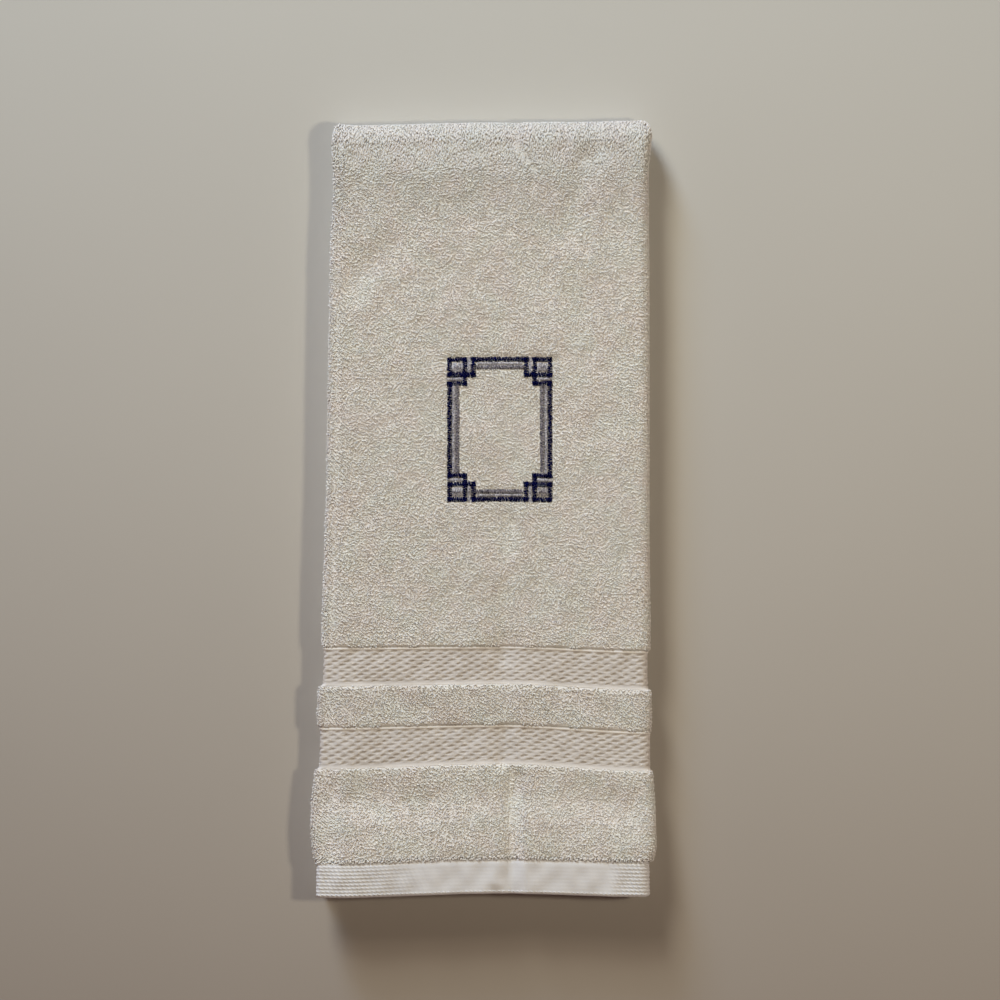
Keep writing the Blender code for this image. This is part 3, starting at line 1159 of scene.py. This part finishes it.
@dataclass
class Hem(WovenBand):
    """A turned and sewn hem: twisted ribs, and a corded edge."""

    half: float = 0.5 * HEM
    depth: float = 0.38
    rib_pitch: float = 1.58
    twist_pitch: float = 2.05
    twist_slant: float = 0.55
    row_turn: float = 0.37
    sway: float = 0.15
    sway_length: float = 11.0
    strand_taper: float = 0.85
    strand_low: float = 0.15
    strand_rise: float = 1.1
    worn: float = 0.8
    cord_at: float = 1.2
    cord_radius: float = 0.46
    cord_sink: float = 0.12
    cord_sides: int = 5
    cord_margin: float = 1.0
    stitch_reach: float = 0.42
    stitch_overlap: float = 1.15
    stitch_slant: float = 0.7
    stitch_ends: float = 0.6
    back_to_front: bool = False
    crisp_ends: tuple[float, float] = (46.0, 15.0)
    crisp_slope: float = 1.5
    least_crisp: float = 0.1
    crisp_step_share: float = 0.7
    middle_step: float = 0.9
    turned_edge: float = 1.1
    loop_edge: float = 2.4
    loop_edge_share: float = 0.55
    overlap: tuple[float, float] = (0.0, 0.0)
    finish: Finish = Finish.HEM

    def face_places(self) -> Array:
        """Places across the face, closer together at its two ends, where the ribs are crisp."""
        if self.back_to_front:
            return super().face_places()
        ends = [share / self.face_width for share in self.crisp_ends]
        fine = self.crisp_step_share * self.face_step / self.face_width
        left = np.arange(0.0, ends[0], fine)
        middle = np.arange(ends[0], 1.0 - ends[1], self.middle_step / self.face_width)
        right = np.arange(1.0 - ends[1], 1.0 - 0.5 * fine, fine)
        return np.concatenate([left, middle, right])

    def from_edge(self, along: Array) -> Array:
        """The distance of each place along from the towel's end."""
        return self.zone.end - along if self.back_to_front else along - self.zone.start

    def pattern(self, x: Array, up: Array) -> Array:
        """Ribs that look twisted near the folded edges and worn flat in the middle."""
        from_edge = self.from_edge(up + self.zone.start)
        left, right = self.crisp_ends
        crisp = np.maximum(1.0 - x / left, 1.0 - (self.face_width - x) / right)
        crisp = np.clip(crisp * self.crisp_slope, self.least_crisp, 1.0)
        swayed = from_edge + self.sway * np.sin(x / self.sway_length)
        rows = (swayed - self.cord_at) / self.rib_pitch
        turn = x / self.twist_pitch + self.row_turn * np.round(rows)
        turn = turn - np.floor(turn) - 0.5
        rows = rows + self.twist_slant * turn
        taper = 1.0 - self.strand_taper * np.abs(2.0 * turn) ** 3
        strand = np.cos(math.pi * rows) ** 2 * taper
        return mix(self.worn, self.strand_low + self.strand_rise * strand, crisp)

    def trim(self, shape: Shape) -> None:
        """Adds the cord along the towel's end: short slanting stitches side by side."""
        ends = self.stretch_ends()
        x = np.arange(ends[0] + self.cord_margin, ends[-1] - self.cord_margin, self.twist_pitch)
        share = np.array([-self.stitch_reach, 0.0, self.stitch_reach])
        x_mm = x[:, None] + share * self.twist_pitch * self.stitch_overlap
        away = self.cord_at - share * self.stitch_slant
        along = self.zone.end - away if self.back_to_front else self.zone.start + away
        across = np.interp(x_mm, ends, STRETCH_ENDS)
        patch = self.cloth.place(across, along[None, :], self.half - self.cord_sink)
        radius = self.cord_radius * np.array([self.stitch_ends, 1.0, self.stitch_ends])
        corners = tube_corners(patch.points, patch.along[:, 1], radius, self.cord_sides)
        faces = tube_faces(len(x), len(share), self.cord_sides)
        shape.add(corners, faces, height=0.95, across_mm=0.0, along_mm=0.0)

    def edge_round(self, along: Array) -> Array:
        """Round at the towel's end, like the edge of a fold, and low where the loops begin."""
        from_edge = self.from_edge(along)
        inside = np.clip(from_edge / self.turned_edge, 0.0, 1.0)
        fold = np.sqrt(1.0 - (1.0 - inside) ** 2)
        height = self.zone.end - self.zone.start
        away = smooth_step((height - from_edge) / self.loop_edge)
        return fold * mix(self.loop_edge_share, 1.0, away)


@dataclass
class Pile:
    """The loops of one terry stretch of the cloth: short arches of yarn that lean all ways.

    Sizes are in mm and angles in radians. A pair is the least and the most of a random size, but
    of the turns it is an angle and its spread, and of the gaps it is the one at each end. The
    skin is the part that can be seen: distances across it, and where on the cloth they fall.
    """

    cloth: FoldedCloth
    name: str
    zone: Zone
    spacing: float = 0.88
    row_share: float = 0.9
    seed: int = 1
    yarn: float = 0.74
    yarn_spread: tuple[float, float] = (0.8, 1.2)
    flat: float = 0.85
    stride: tuple[float, float] = (0.8, 1.4)
    top_stride: float = 1.6
    hem_stride: float = 0.8
    rise: tuple[float, float] = (0.28, 0.52)
    top_flattening: float = 0.6
    stray_rise: float = 0.5
    row_pitch: float = 2.0
    row_rise: float = 0.10
    row_wander: float = 0.25
    edge: Ripples = field(default_factory=lambda: Ripples(9, 4.0, 18.0, 0.8))
    edge_drop: float = 0.18
    edge_round: float = 2.0
    ragged: tuple[float, float] = (0.4, 1.2)
    corner_lift: float = 0.45
    top_lift: float = 0.3
    root_lift: float = 0.72
    lean: float = 0.20
    jitter: float = 0.5
    gaps: tuple[float, float] = (0.0, 0.0)
    turn_spread: float = 0.75
    top_spread: float = 0.2
    left_turn: tuple[float, float] = (-0.8, 0.4)
    left_share: float = 14.0
    hem_turn: tuple[float, float] = (1.05, 0.5)
    hem_turned: Zone = Zone(30.0, 46.0)
    hem_long: Zone = Zone(16.0, 18.0)
    # A darkening of all the stretch's loops; the strip between the borders uses it as painted
    # shade.
    tone: float = 0.0
    # Painted light and shade along the rows: loops on the raised crests are lighter.
    row_shading: float = 0.3
    # Painted shade on the loops near the stretch's end at a woven band.
    band_edge_shade: float = -0.3
    top_tone: float = 0.6
    top_evenness: float = 0.7
    face_share: float = 1.0
    sides: int = 4
    poke_share: float = 0.05
    bare: Any = None
    skin: tuple[float, ...] = (0.0, 7.6, 148.6, 161.6)
    skin_places: tuple[float, ...] = (1.12, 2.0, 3.0, 3.93)

    def scatter(self, draw: np.random.Generator) -> tuple[Array, Array]:
        """Root places in staggered rows, each a little out of line.

        Args:
            draw: the source of chance.

        Returns:
            The places across and along.
        """
        step = self.spacing
        low, high = self.zone
        count = round((high - low) / (step * self.row_share))
        rows = low + (np.arange(count) + 0.5) * (high - low) / count
        places = np.arange(0.5 * step, self.skin[-1], step)
        along, across = np.meshgrid(rows, places, indexing="ij")
        across = across + 0.5 * step * (np.arange(len(rows)) % 2)[:, None]
        across = across + draw.uniform(-self.jitter, self.jitter, across.shape) * step
        along = along + draw.uniform(-self.jitter, self.jitter, along.shape) * step
        ragged = np.clip(0.8 + self.edge.at(across, np.zeros_like(across)), *self.ragged)
        inside = (along >= low + self.gaps[0] * ragged) & (along <= high - self.gaps[1] * ragged)
        across = np.interp(across, self.skin, self.skin_places)
        on_face = np.floor(across) == Stretch.FACE
        keep = (draw.uniform(0.0, 1.0, across.shape) < self.face_share) | ~on_face
        return across[keep & inside], along[keep & inside]

    def near_band(self, along: Array) -> tuple[Array, Array]:
        """1 for the loops right beside a woven band, past the stretch's start and its end."""
        ends = (along - self.zone.start, self.zone.end - along)
        return tuple(
            smooth_step(1.0 - (away - gap) / self.edge_round) * (gap > 0.0)
            for away, gap in zip(ends, self.gaps)
        )

    def near_left(self, across: Array) -> Array:
        """1 for the loops on the fold at the left, and 0 for those well inside the face."""
        return smooth_step(1.0 - (across - Stretch.FACE) * self.left_share)

    def turns(self, draw: np.random.Generator, across: Array, along: Array, y: Array) -> Array:
        """The way that each loop runs, as an angle from the line across the cloth.

        Args:
            draw: the source of chance.
            across: the loops' places across the cloth.
            along: their places along the cloth.
            y: their places along the towel.

        Returns:
            The angles: mostly level, but upright on the top fold, and slanted at the left edge
            and above the hem.
        """
        count = len(along)
        near_top = self.cloth.near_top(y)
        near_left = self.near_left(across) * (1.0 - near_top)
        turn = draw.normal(0.0, self.turn_spread, count)
        upright = draw.uniform(0.0, 1.0, count) < near_top
        straight_up = 0.5 * math.pi + draw.normal(0.0, self.top_spread, count)
        turn = np.where(upright, straight_up, turn)
        slanted = ((self.hem_turn, ramp_down(along, self.hem_turned)), (self.left_turn, near_left))
        for (angle, spread), near in slanted:
            turn = mix(turn, angle + draw.normal(0.0, spread, count), near)
        return turn

    def build(self) -> bpy.types.Object:
        """Makes the loops as one joined mesh."""
        draw = np.random.default_rng(self.seed)
        across, along = self.scatter(draw)
        if self.bare is not None:
            poking = draw.uniform(0.0, 1.0, len(across)) < self.poke_share
            keep = ~self.bare(across, along) | poking
            across, along = across[keep], along[keep]
        above, below = self.near_band(along)
        roots = self.cloth.place(across, along, self.root_lift - self.edge_drop * (above + below))
        near_top = self.cloth.near_top(roots.points[:, 1])
        corner = 2.0 * np.abs(roots.out[:, 0] * roots.out[:, 1]) * near_top
        raised = self.corner_lift * corner + self.top_lift * near_top
        patch = roots._replace(points=roots.points + raised[:, None] * roots.out)
        count = len(across)
        x, y = patch.points[:, 0], patch.points[:, 1]
        wandered = along + self.row_wander * self.edge.at(x, along)
        rows = np.cos(2.0 * math.pi * wandered / self.row_pitch)

        turn = self.turns(draw, across, along, y)
        ahead = np.cos(turn)[:, None] * patch.across + np.sin(turn)[:, None] * patch.along
        beside = np.cross(patch.out, ahead)
        near_hem = ramp_down(along, self.hem_long)
        longer = 1.0 + self.top_stride * near_top + self.hem_stride * near_hem
        stride = draw.uniform(*self.stride, count) * longer
        rise = draw.uniform(*self.rise, count) * (1.0 - self.top_flattening * near_top)
        rise = rise + self.row_rise * rows * (1.0 - near_top)
        strays = self.stray_rise * (across < Stretch.FACE)
        rise = rise + strays * draw.uniform(0.0, 1.0, count) ** 4
        lean = draw.normal(0.0, self.lean, count)
        radius = 0.5 * self.yarn * draw.uniform(*self.yarn_spread, count)

        half = 0.5 * stride[:, None] * ahead
        top = patch.points + rise[:, None] * patch.out + lean[:, None] * beside
        angles = 2.0 * math.pi * np.arange(self.sides)[:, None] / self.sides
        thick = self.flat * np.cos(angles)
        ring = thick * patch.out[:, None, :] + np.sin(angles) * beside[:, None, :]
        ring = top[:, None, :] + radius[:, None, None] * ring
        feet = np.stack([patch.points - half, patch.points + half], axis=1)
        corners = np.concatenate([feet, ring], axis=1)
        # Painted shade: each arch's feet and underside take the darker root colour, its top the
        # tip colour.
        heights = np.concatenate([[0.0, 0.0], 0.6 + 0.4 * np.cos(angles[:, 0])])
        # Each loop's tone at random, plus painted light and shade along the rows.
        tone = draw.uniform(0.0, 1.0, count) + self.row_shading * rows
        tone = mix(tone, self.top_tone, self.top_evenness * near_top)
        # Painted shade: darker loops on the strip, near the stretch's end at a woven band and
        # towards the top fold.
        tone = tone + self.tone + self.band_edge_shade * below - self.cloth.top_fold_shade(y)
        tone = np.repeat(tone, len(heights))
        shape = Shape()
        faces = arch_faces(count, self.sides)
        shape.add(corners, faces, height=np.tile(heights, count), tone=tone)
        return Finish.TERRY.piece(shape, self.name)


class Bar(NamedTuple):
    """A straight bar of satin stitch, by the two ends of its middle line and its width."""

    x0: float
    y0: float
    x1: float
    y1: float
    width: float


@dataclass
class Embroidery:
    """A plain upright frame of straight lines, looped into a small square at each corner."""

    cloth: FoldedCloth
    centre_x: float = 7.2
    centre_along: float = 204.6
    half_width: float = 22.1
    half_height: float = 30.8
    line: float = 2.2
    square: float = 6.7
    drop: float = 10.5
    band: float = 1.3
    shade: float = 2.0
    stitch_pitch: float = 0.34
    thread: float = 0.40
    top_lift: float = 1.45
    edge_lift: float = 0.55
    slant: float = 0.22
    slant_spread: float = 0.12
    place_spread: float = 0.08
    lift_spread: float = 0.05
    jags: tuple[float, float] = (0.80, 1.16)
    jag: int = 3
    end_jag: float = 0.9
    light_sink: float = 0.25
    shade_sink: float = 0.12
    gap_reach: float = 0.3
    dot: tuple[float, float] = (0.7, 1.5)
    margin: float = 0.25
    over: tuple[float, ...] = (-0.5, -0.36, 0.0, 0.36, 0.5)
    arch: tuple[float, ...] = (0.0, 0.72, 1.0, 0.72, 0.0)
    seed: int = 21
    sides: int = 3

    def squares(self) -> list[tuple[int, int, float, float]]:
        """Each corner square: the ways that it lies from the centre, and its own centre."""
        x = self.half_width - 0.5 * self.square
        y = self.half_height - 0.5 * self.square
        ways = [(way_x, way_y) for way_x in (-1, 1) for way_y in (-1, 1)]
        return [(way_x, way_y, way_x * x, way_y * y) for way_x, way_y in ways]

    def corner_bars(self, way_x: int, way_y: int) -> list[Bar]:
        """The looped corner that lies that way from the centre, as bars of the main line."""
        x, y = way_x * self.half_width, way_y * self.half_height
        near_x, near_y = x - way_x * self.square, y - way_y * self.square
        far_x, far_y = x - way_x * self.drop, y - way_y * self.drop
        turns = [(far_x, y), (far_x, near_y), (x, near_y), (x, y)]
        turns += [(near_x, y), (near_x, far_y), (x, far_y)]
        return [Bar(*start, *end, self.line) for start, end in zip(turns, turns[1:])]

    def main_bars(self) -> list[Bar]:
        """The dark line all round: four sides and four looped corners."""
        wide = self.half_width - self.drop
        tall = self.half_height - self.drop
        bars = []
        for way in (-1, 1):
            x, y = way * self.half_width, way * self.half_height
            bars += [Bar(-wide, y, wide, y, self.line), Bar(x, -tall, x, tall, self.line)]
            for other in (-1, 1):
                bars += self.corner_bars(way, other)
        return bars

    def inner_bars(self, inset: float, width: float) -> list[Bar]:
        """A line inside each of the four sides, that far in from the main line's middle."""
        wide = self.half_width - self.drop - self.line
        tall = self.half_height - self.drop - 0.6 * self.line
        bars = []
        for way in (-1, 1):
            y = way * (self.half_height - inset)
            x = way * (self.half_width - inset)
            bars += [Bar(-wide, y, wide, y, width), Bar(x, -tall, x, tall, width)]
        return bars

    def light_bars(self) -> list[Bar]:
        """The light bands inside the sides, in the corner squares and in the corner gaps."""
        bars = self.inner_bars(0.5 * (self.line + self.band), self.band)
        inner = self.square - self.line
        gap = self.drop - self.square - self.line
        for way_x, way_y, x, y in self.squares():
            bars.append(Bar(x - 0.5 * inner, y, x + 0.5 * inner, y, inner))
            beside = way_x * (self.half_width - 0.5 * (self.square + self.drop))
            under = way_y * (self.half_height - 0.5 * (self.square + self.drop))
            start, end = (way_y * reach for reach in self.gap_ends(self.half_height))
            bars.append(Bar(beside, start, beside, end, gap))
            start, end = (way_x * reach for reach in self.gap_ends(self.half_width))
            bars.append(Bar(start, under, end, under, gap))
        return bars

    def gap_ends(self, half: float) -> tuple[float, float]:
        """How far from the centre a corner gap's light band starts and ends on one axis."""
        return half + self.gap_reach, half - self.square + 0.5 * self.line

    def shade_bars(self) -> list[Bar]:
        """The darker line inside the light one, and a dot in each corner square."""
        bars = self.inner_bars(0.5 * self.line + self.band + 0.5 * self.shade, self.shade)
        reach, width = self.dot
        return bars + [Bar(x - reach, y, x + reach, y, width) for _, _, x, y in self.squares()]

    def bare(self, across: Array, along: Array) -> Array:
        """Tells which places on the cloth lie under the stitches, so that no loop stands there."""
        x = self.cloth.place(across, along).points[:, 0] - self.centre_x
        y = along - self.centre_along
        under = np.zeros(len(x), bool)
        for bar in [*self.main_bars(), *self.light_bars(), *self.shade_bars()]:
            reach = 0.5 * bar.width + self.margin
            low_x, high_x = sorted((bar.x0, bar.x1))
            low_y, high_y = sorted((bar.y0, bar.y1))
            inside = (x > low_x - reach) & (x < high_x + reach)
            under |= inside & (y > low_y - reach) & (y < high_y + reach)
        return under

    def sew(self, bars: Sequence[Bar], top: float, seed: int) -> Shape:
        """Fills bars with satin stitches.

        Args:
            bars: the bars to fill.
            top: how far the stitches stand out of the middle of the cloth, in mm.
            seed: the start of the chances that make the stitches uneven.

        Returns:
            The stitches as one shape.
        """
        draw = np.random.default_rng(seed)
        shape = Shape()
        over, arch = np.array(self.over), np.array(self.arch)
        for bar in bars:
            start, end = np.array([bar.x0, bar.y0]), np.array([bar.x1, bar.y1])
            length = np.linalg.norm(end - start)
            ahead = (end - start) / length
            over_way = np.array([-ahead[1], ahead[0]])
            reach = 0.5 * bar.width - 0.2 if bar.width <= self.line else 0.0
            count = max(2, round((length + 2.0 * reach) / self.stitch_pitch))
            places = np.linspace(-reach, length + reach, count)
            places = places + draw.normal(0.0, self.place_spread, count)
            jags = np.repeat(draw.uniform(*self.jags, count // self.jag + 1), self.jag)[:count]
            jags[: self.jag] = self.end_jag
            jags[-self.jag :] = self.end_jag
            width = bar.width * jags
            slant = self.slant * np.where(np.arange(count) % 2, 1.0, -1.0)
            slant = slant + draw.normal(0.0, self.slant_spread, count)
            middle = start + places[:, None] * ahead
            way = over_way + slant[:, None] * ahead
            flat = middle[:, None, :] + (width[:, None] * over)[..., None] * way[:, None, :]
            tops = top + draw.normal(0.0, self.lift_spread, count)[:, None]
            lift = mix(self.edge_lift, tops, arch)
            along = self.centre_along + flat[..., 1]
            across = self.cloth.on_face(self.centre_x + flat[..., 0], along)
            paths = self.cloth.place(across, along, lift).points
            beside = np.broadcast_to(np.array([*ahead, 0.0]), (count, 3))
            corners = tube_corners(paths, beside, 0.5 * self.thread, self.sides)
            tone = np.repeat(draw.uniform(0.0, 1.0, count), len(over) * self.sides)
            shape.add(corners, tube_faces(count, len(over), self.sides), tone=tone[None, :])
        return shape

    def build(self) -> list[bpy.types.Object]:
        """Makes the three threads' stitches."""
        light = self.sew(self.light_bars(), self.top_lift - self.light_sink, self.seed)
        shade = self.sew(self.shade_bars(), self.top_lift - self.shade_sink, self.seed + 1)
        main = self.sew(self.main_bars(), self.top_lift, self.seed + 2)
        return [
            Finish.LILAC.piece(light, "embroidery_lilac"),
            Finish.GREY.piece(shade, "embroidery_grey"),
            Finish.NAVY.piece(main, "embroidery_navy"),
        ]


@dataclass
class Towel:
    """The whole towel: its ground cloth, its woven bands, its pile and its embroidery."""

    cloth: FoldedCloth = field(default_factory=FoldedCloth)
    # Painted shade on the loops of the strip between the borders.
    strip_shade: float = -0.35
    hidden_spacing: float = 1.05
    hidden_share: float = 0.12
    body_cuts: tuple[float, float, float, float] = (170.0, 240.0, 305.0, 352.0)
    band_gaps: tuple[float, float] = (1.2, 0.2)
    front_seed: int = 40
    back_seed: int = 60

    def bands(self) -> list[WovenBand]:
        """The borders and hems, fine on the front half and coarser on the hidden half."""
        cloth = self.cloth
        coarse = {"face_step": 1.4, "row_step": 0.5, "flap_columns": 8, "fold_columns": (8, 12)}
        made: list[WovenBand] = []
        for number, zone in enumerate(cloth.borders, 1):
            front, back = cloth.both_ends(zone)
            made.append(Border(cloth, f"border_front_{number}", front))
            made.append(Border(cloth, f"border_back_{number}", back, **coarse))
        front, back = cloth.both_ends(cloth.hem_zone)
        made.append(Hem(cloth, "hem_front", front))
        made.append(Hem(cloth, "hem_back", back, back_to_front=True, **coarse))
        return made

    def piles(self, embroidery: Embroidery) -> list[Pile]:
        """The loops between the bands, on the front, round the top fold and on the back."""
        cloth = self.cloth
        lower, upper = cloth.borders
        low_end, middle_end, high_end, top_end = self.body_cuts
        stretches = {
            "pile_front_end": Zone(cloth.hem_zone.end, lower.start),
            "pile_front_strip": Zone(lower.end, upper.start),
            "pile_front_low": Zone(upper.end, low_end),
            "pile_front_middle": Zone(low_end, middle_end),
            "pile_front_high": Zone(middle_end, high_end),
            "pile_top_fold": Zone(high_end, top_end),
        }
        made = [
            Pile(
                cloth,
                name,
                zone,
                seed=self.front_seed + i,
                gaps=self.gaps(zone),
                # The strip's loops are darkened as painted shade.
                tone=self.strip_shade if zone.start == lower.end else 0.0,
                bare=embroidery.bare,
            )
            for i, (name, zone) in enumerate(stretches.items())
        ]
        bands = (upper, lower, cloth.hem_zone)
        back_upper, back_lower, back_hem = (cloth.both_ends(band)[1] for band in bands)
        behind = {
            "pile_back_body": Zone(top_end, back_upper.start),
            "pile_back_strip": Zone(back_upper.end, back_lower.start),
            "pile_back_end": Zone(back_lower.end, back_hem.start),
        }
        made += [
            Pile(
                cloth,
                name,
                zone,
                spacing=self.hidden_spacing,
                seed=self.back_seed + i,
                gaps=self.gaps(zone),
                face_share=self.hidden_share,
            )
            for i, (name, zone) in enumerate(behind.items())
        ]
        return made

    def gaps(self, zone: Zone) -> tuple[float, float]:
        """How far a terry stretch's loops stay from each end that is at a woven border."""
        borders = [there for band in self.cloth.borders for there in self.cloth.both_ends(band)]
        low, high = self.band_gaps
        after_border = zone.start in [border.end for border in borders]
        before_border = zone.end in [border.start for border in borders]
        return low * after_border, high * before_border

    def build(self) -> None:
        ground = GroundCloth(self.cloth).build()
        embroidery = Embroidery(self.cloth)
        others = [band.build() for band in self.bands()]
        others += [pile.build() for pile in self.piles(embroidery)]
        others += embroidery.build()
        flat = (self.cloth.width * MM, self.cloth.length * MM)
        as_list(others)


# ------------------------------------------------------------------ the studio


@dataclass(frozen=True)
class Lamp:
    """A round soft light. Its angles are in degrees, its bearing counted from +X to +Y."""

    name: str
    bearing: float
    elevation: float
    spread: float
    strength: float
    colour: Colour
    distance: float = 2.5

    def build(self) -> None:
        """Makes the light, with its strength in watts a square metre where the towel lies."""
        data = bpy.data.lights.new(self.name, "AREA")
        data.shape = "DISK"
        data.size = 2.0 * self.distance * math.tan(0.5 * math.radians(self.spread))
        data.energy = self.strength * math.pi * self.distance**2
        data.color = self.colour
        made = add_object(self.name, data)
        bearing, elevation = math.radians(self.bearing), math.radians(self.elevation)
        level, height = math.cos(elevation), math.sin(elevation)
        towards = Vector((level * math.cos(bearing), level * math.sin(bearing), height))
        made.location = self.distance * towards
        made.rotation_euler = (-towards).to_track_quat("-Z", "Y").to_euler()
        made.visible_camera = False


@dataclass
class Studio:
    """A pale floor, soft lights and a camera straight above the towel. Lengths are in metres."""

    photo_centre: tuple[float, float] = (0.0073, 0.0037)
    face_height: float = 0.0195
    view_width: float = 0.44
    camera_height: float = 2.2
    sensor: float = 36.0
    floor_radius: float = 12.0
    floor_corners: int = 96
    floor_drop: float = 0.0003
    walls: Colour = (0.75, 0.62, 0.57)
    ceiling: Colour = (0.038, 0.007, 0.003)
    wall_height: tuple[float, float] = (0.12, 0.38)
    lamps: tuple[Lamp, ...] = (
        Lamp("window head", 115.0, 41.0, 18.0, 0.80, (1.0, 0.89, 0.71)),
        Lamp("window middle", 111.0, 32.0, 16.0, 1.12, (0.95, 1.0, 0.86)),
        Lamp("window foot", 111.0, 20.5, 14.0, 1.52, (0.47, 0.69, 1.0)),
        Lamp("side lamp", -2.0, 60.0, 6.0, 0.82, (1.0, 0.945, 0.72), 1.3),
    )

    def floor(self) -> None:
        """A round floor, just under the towel."""
        radius = self.floor_radius
        turns = np.linspace(0.0, 2.0 * math.pi, self.floor_corners, endpoint=False)
        rim = [(radius * math.cos(turn), radius * math.sin(turn), 0.0) for turn in turns]
        mesh = bpy.data.meshes.new("floor")
        mesh.from_pydata(rim, [], [tuple(range(len(rim)))])
        mesh.materials.append(FloorFinish().make())
        made = add_object("floor", mesh)
        made.location.z = -self.floor_drop

    def room(self) -> None:
        """Soft light from all round: pale walls, and a dimmer ceiling."""
        world = bpy.data.worlds.new("Studio room")
        world.use_nodes = True
        tree = world.node_tree
        place = tree.nodes.new("ShaderNodeTexCoord")
        parts = tree.nodes.new("ShaderNodeSeparateXYZ")
        ramp = tree.nodes.new("ShaderNodeValToRGB")
        for element, height, colour in zip(
            ramp.color_ramp.elements, self.wall_height, (self.walls, self.ceiling)
        ):
            element.position = height
            element.color = (*colour, 1.0)
        tree.links.new(place.outputs["Generated"], parts.inputs["Vector"])
        tree.links.new(parts.outputs["Z"], ramp.inputs["Fac"])
        tree.links.new(ramp.outputs["Color"], tree.nodes["Background"].inputs["Color"])
        bpy.context.scene.world = world

    def camera(self) -> None:
        """A camera that looks straight down, as the photo does."""
        data = bpy.data.cameras.new("camera")
        data.sensor_width = self.sensor
        data.lens = self.sensor * self.camera_height / self.view_width
        made = add_object("camera", data)
        made.location = (*self.photo_centre, self.face_height + self.camera_height)
        bpy.context.scene.camera = made

    def build(self) -> None:
        """Makes the floor, the lights and the camera."""
        self.floor()
        self.room()
        self.camera()
        for lamp in self.lamps:
            lamp.build()
        bpy.context.scene.view_settings.view_transform = "Standard"


def main() -> None:
    """Builds the studio and the towel."""
    logging.basicConfig(level=logging.INFO, format="%(message)s")
    Studio().build()
    Towel().build()


if __name__ == "__main__":
    main()
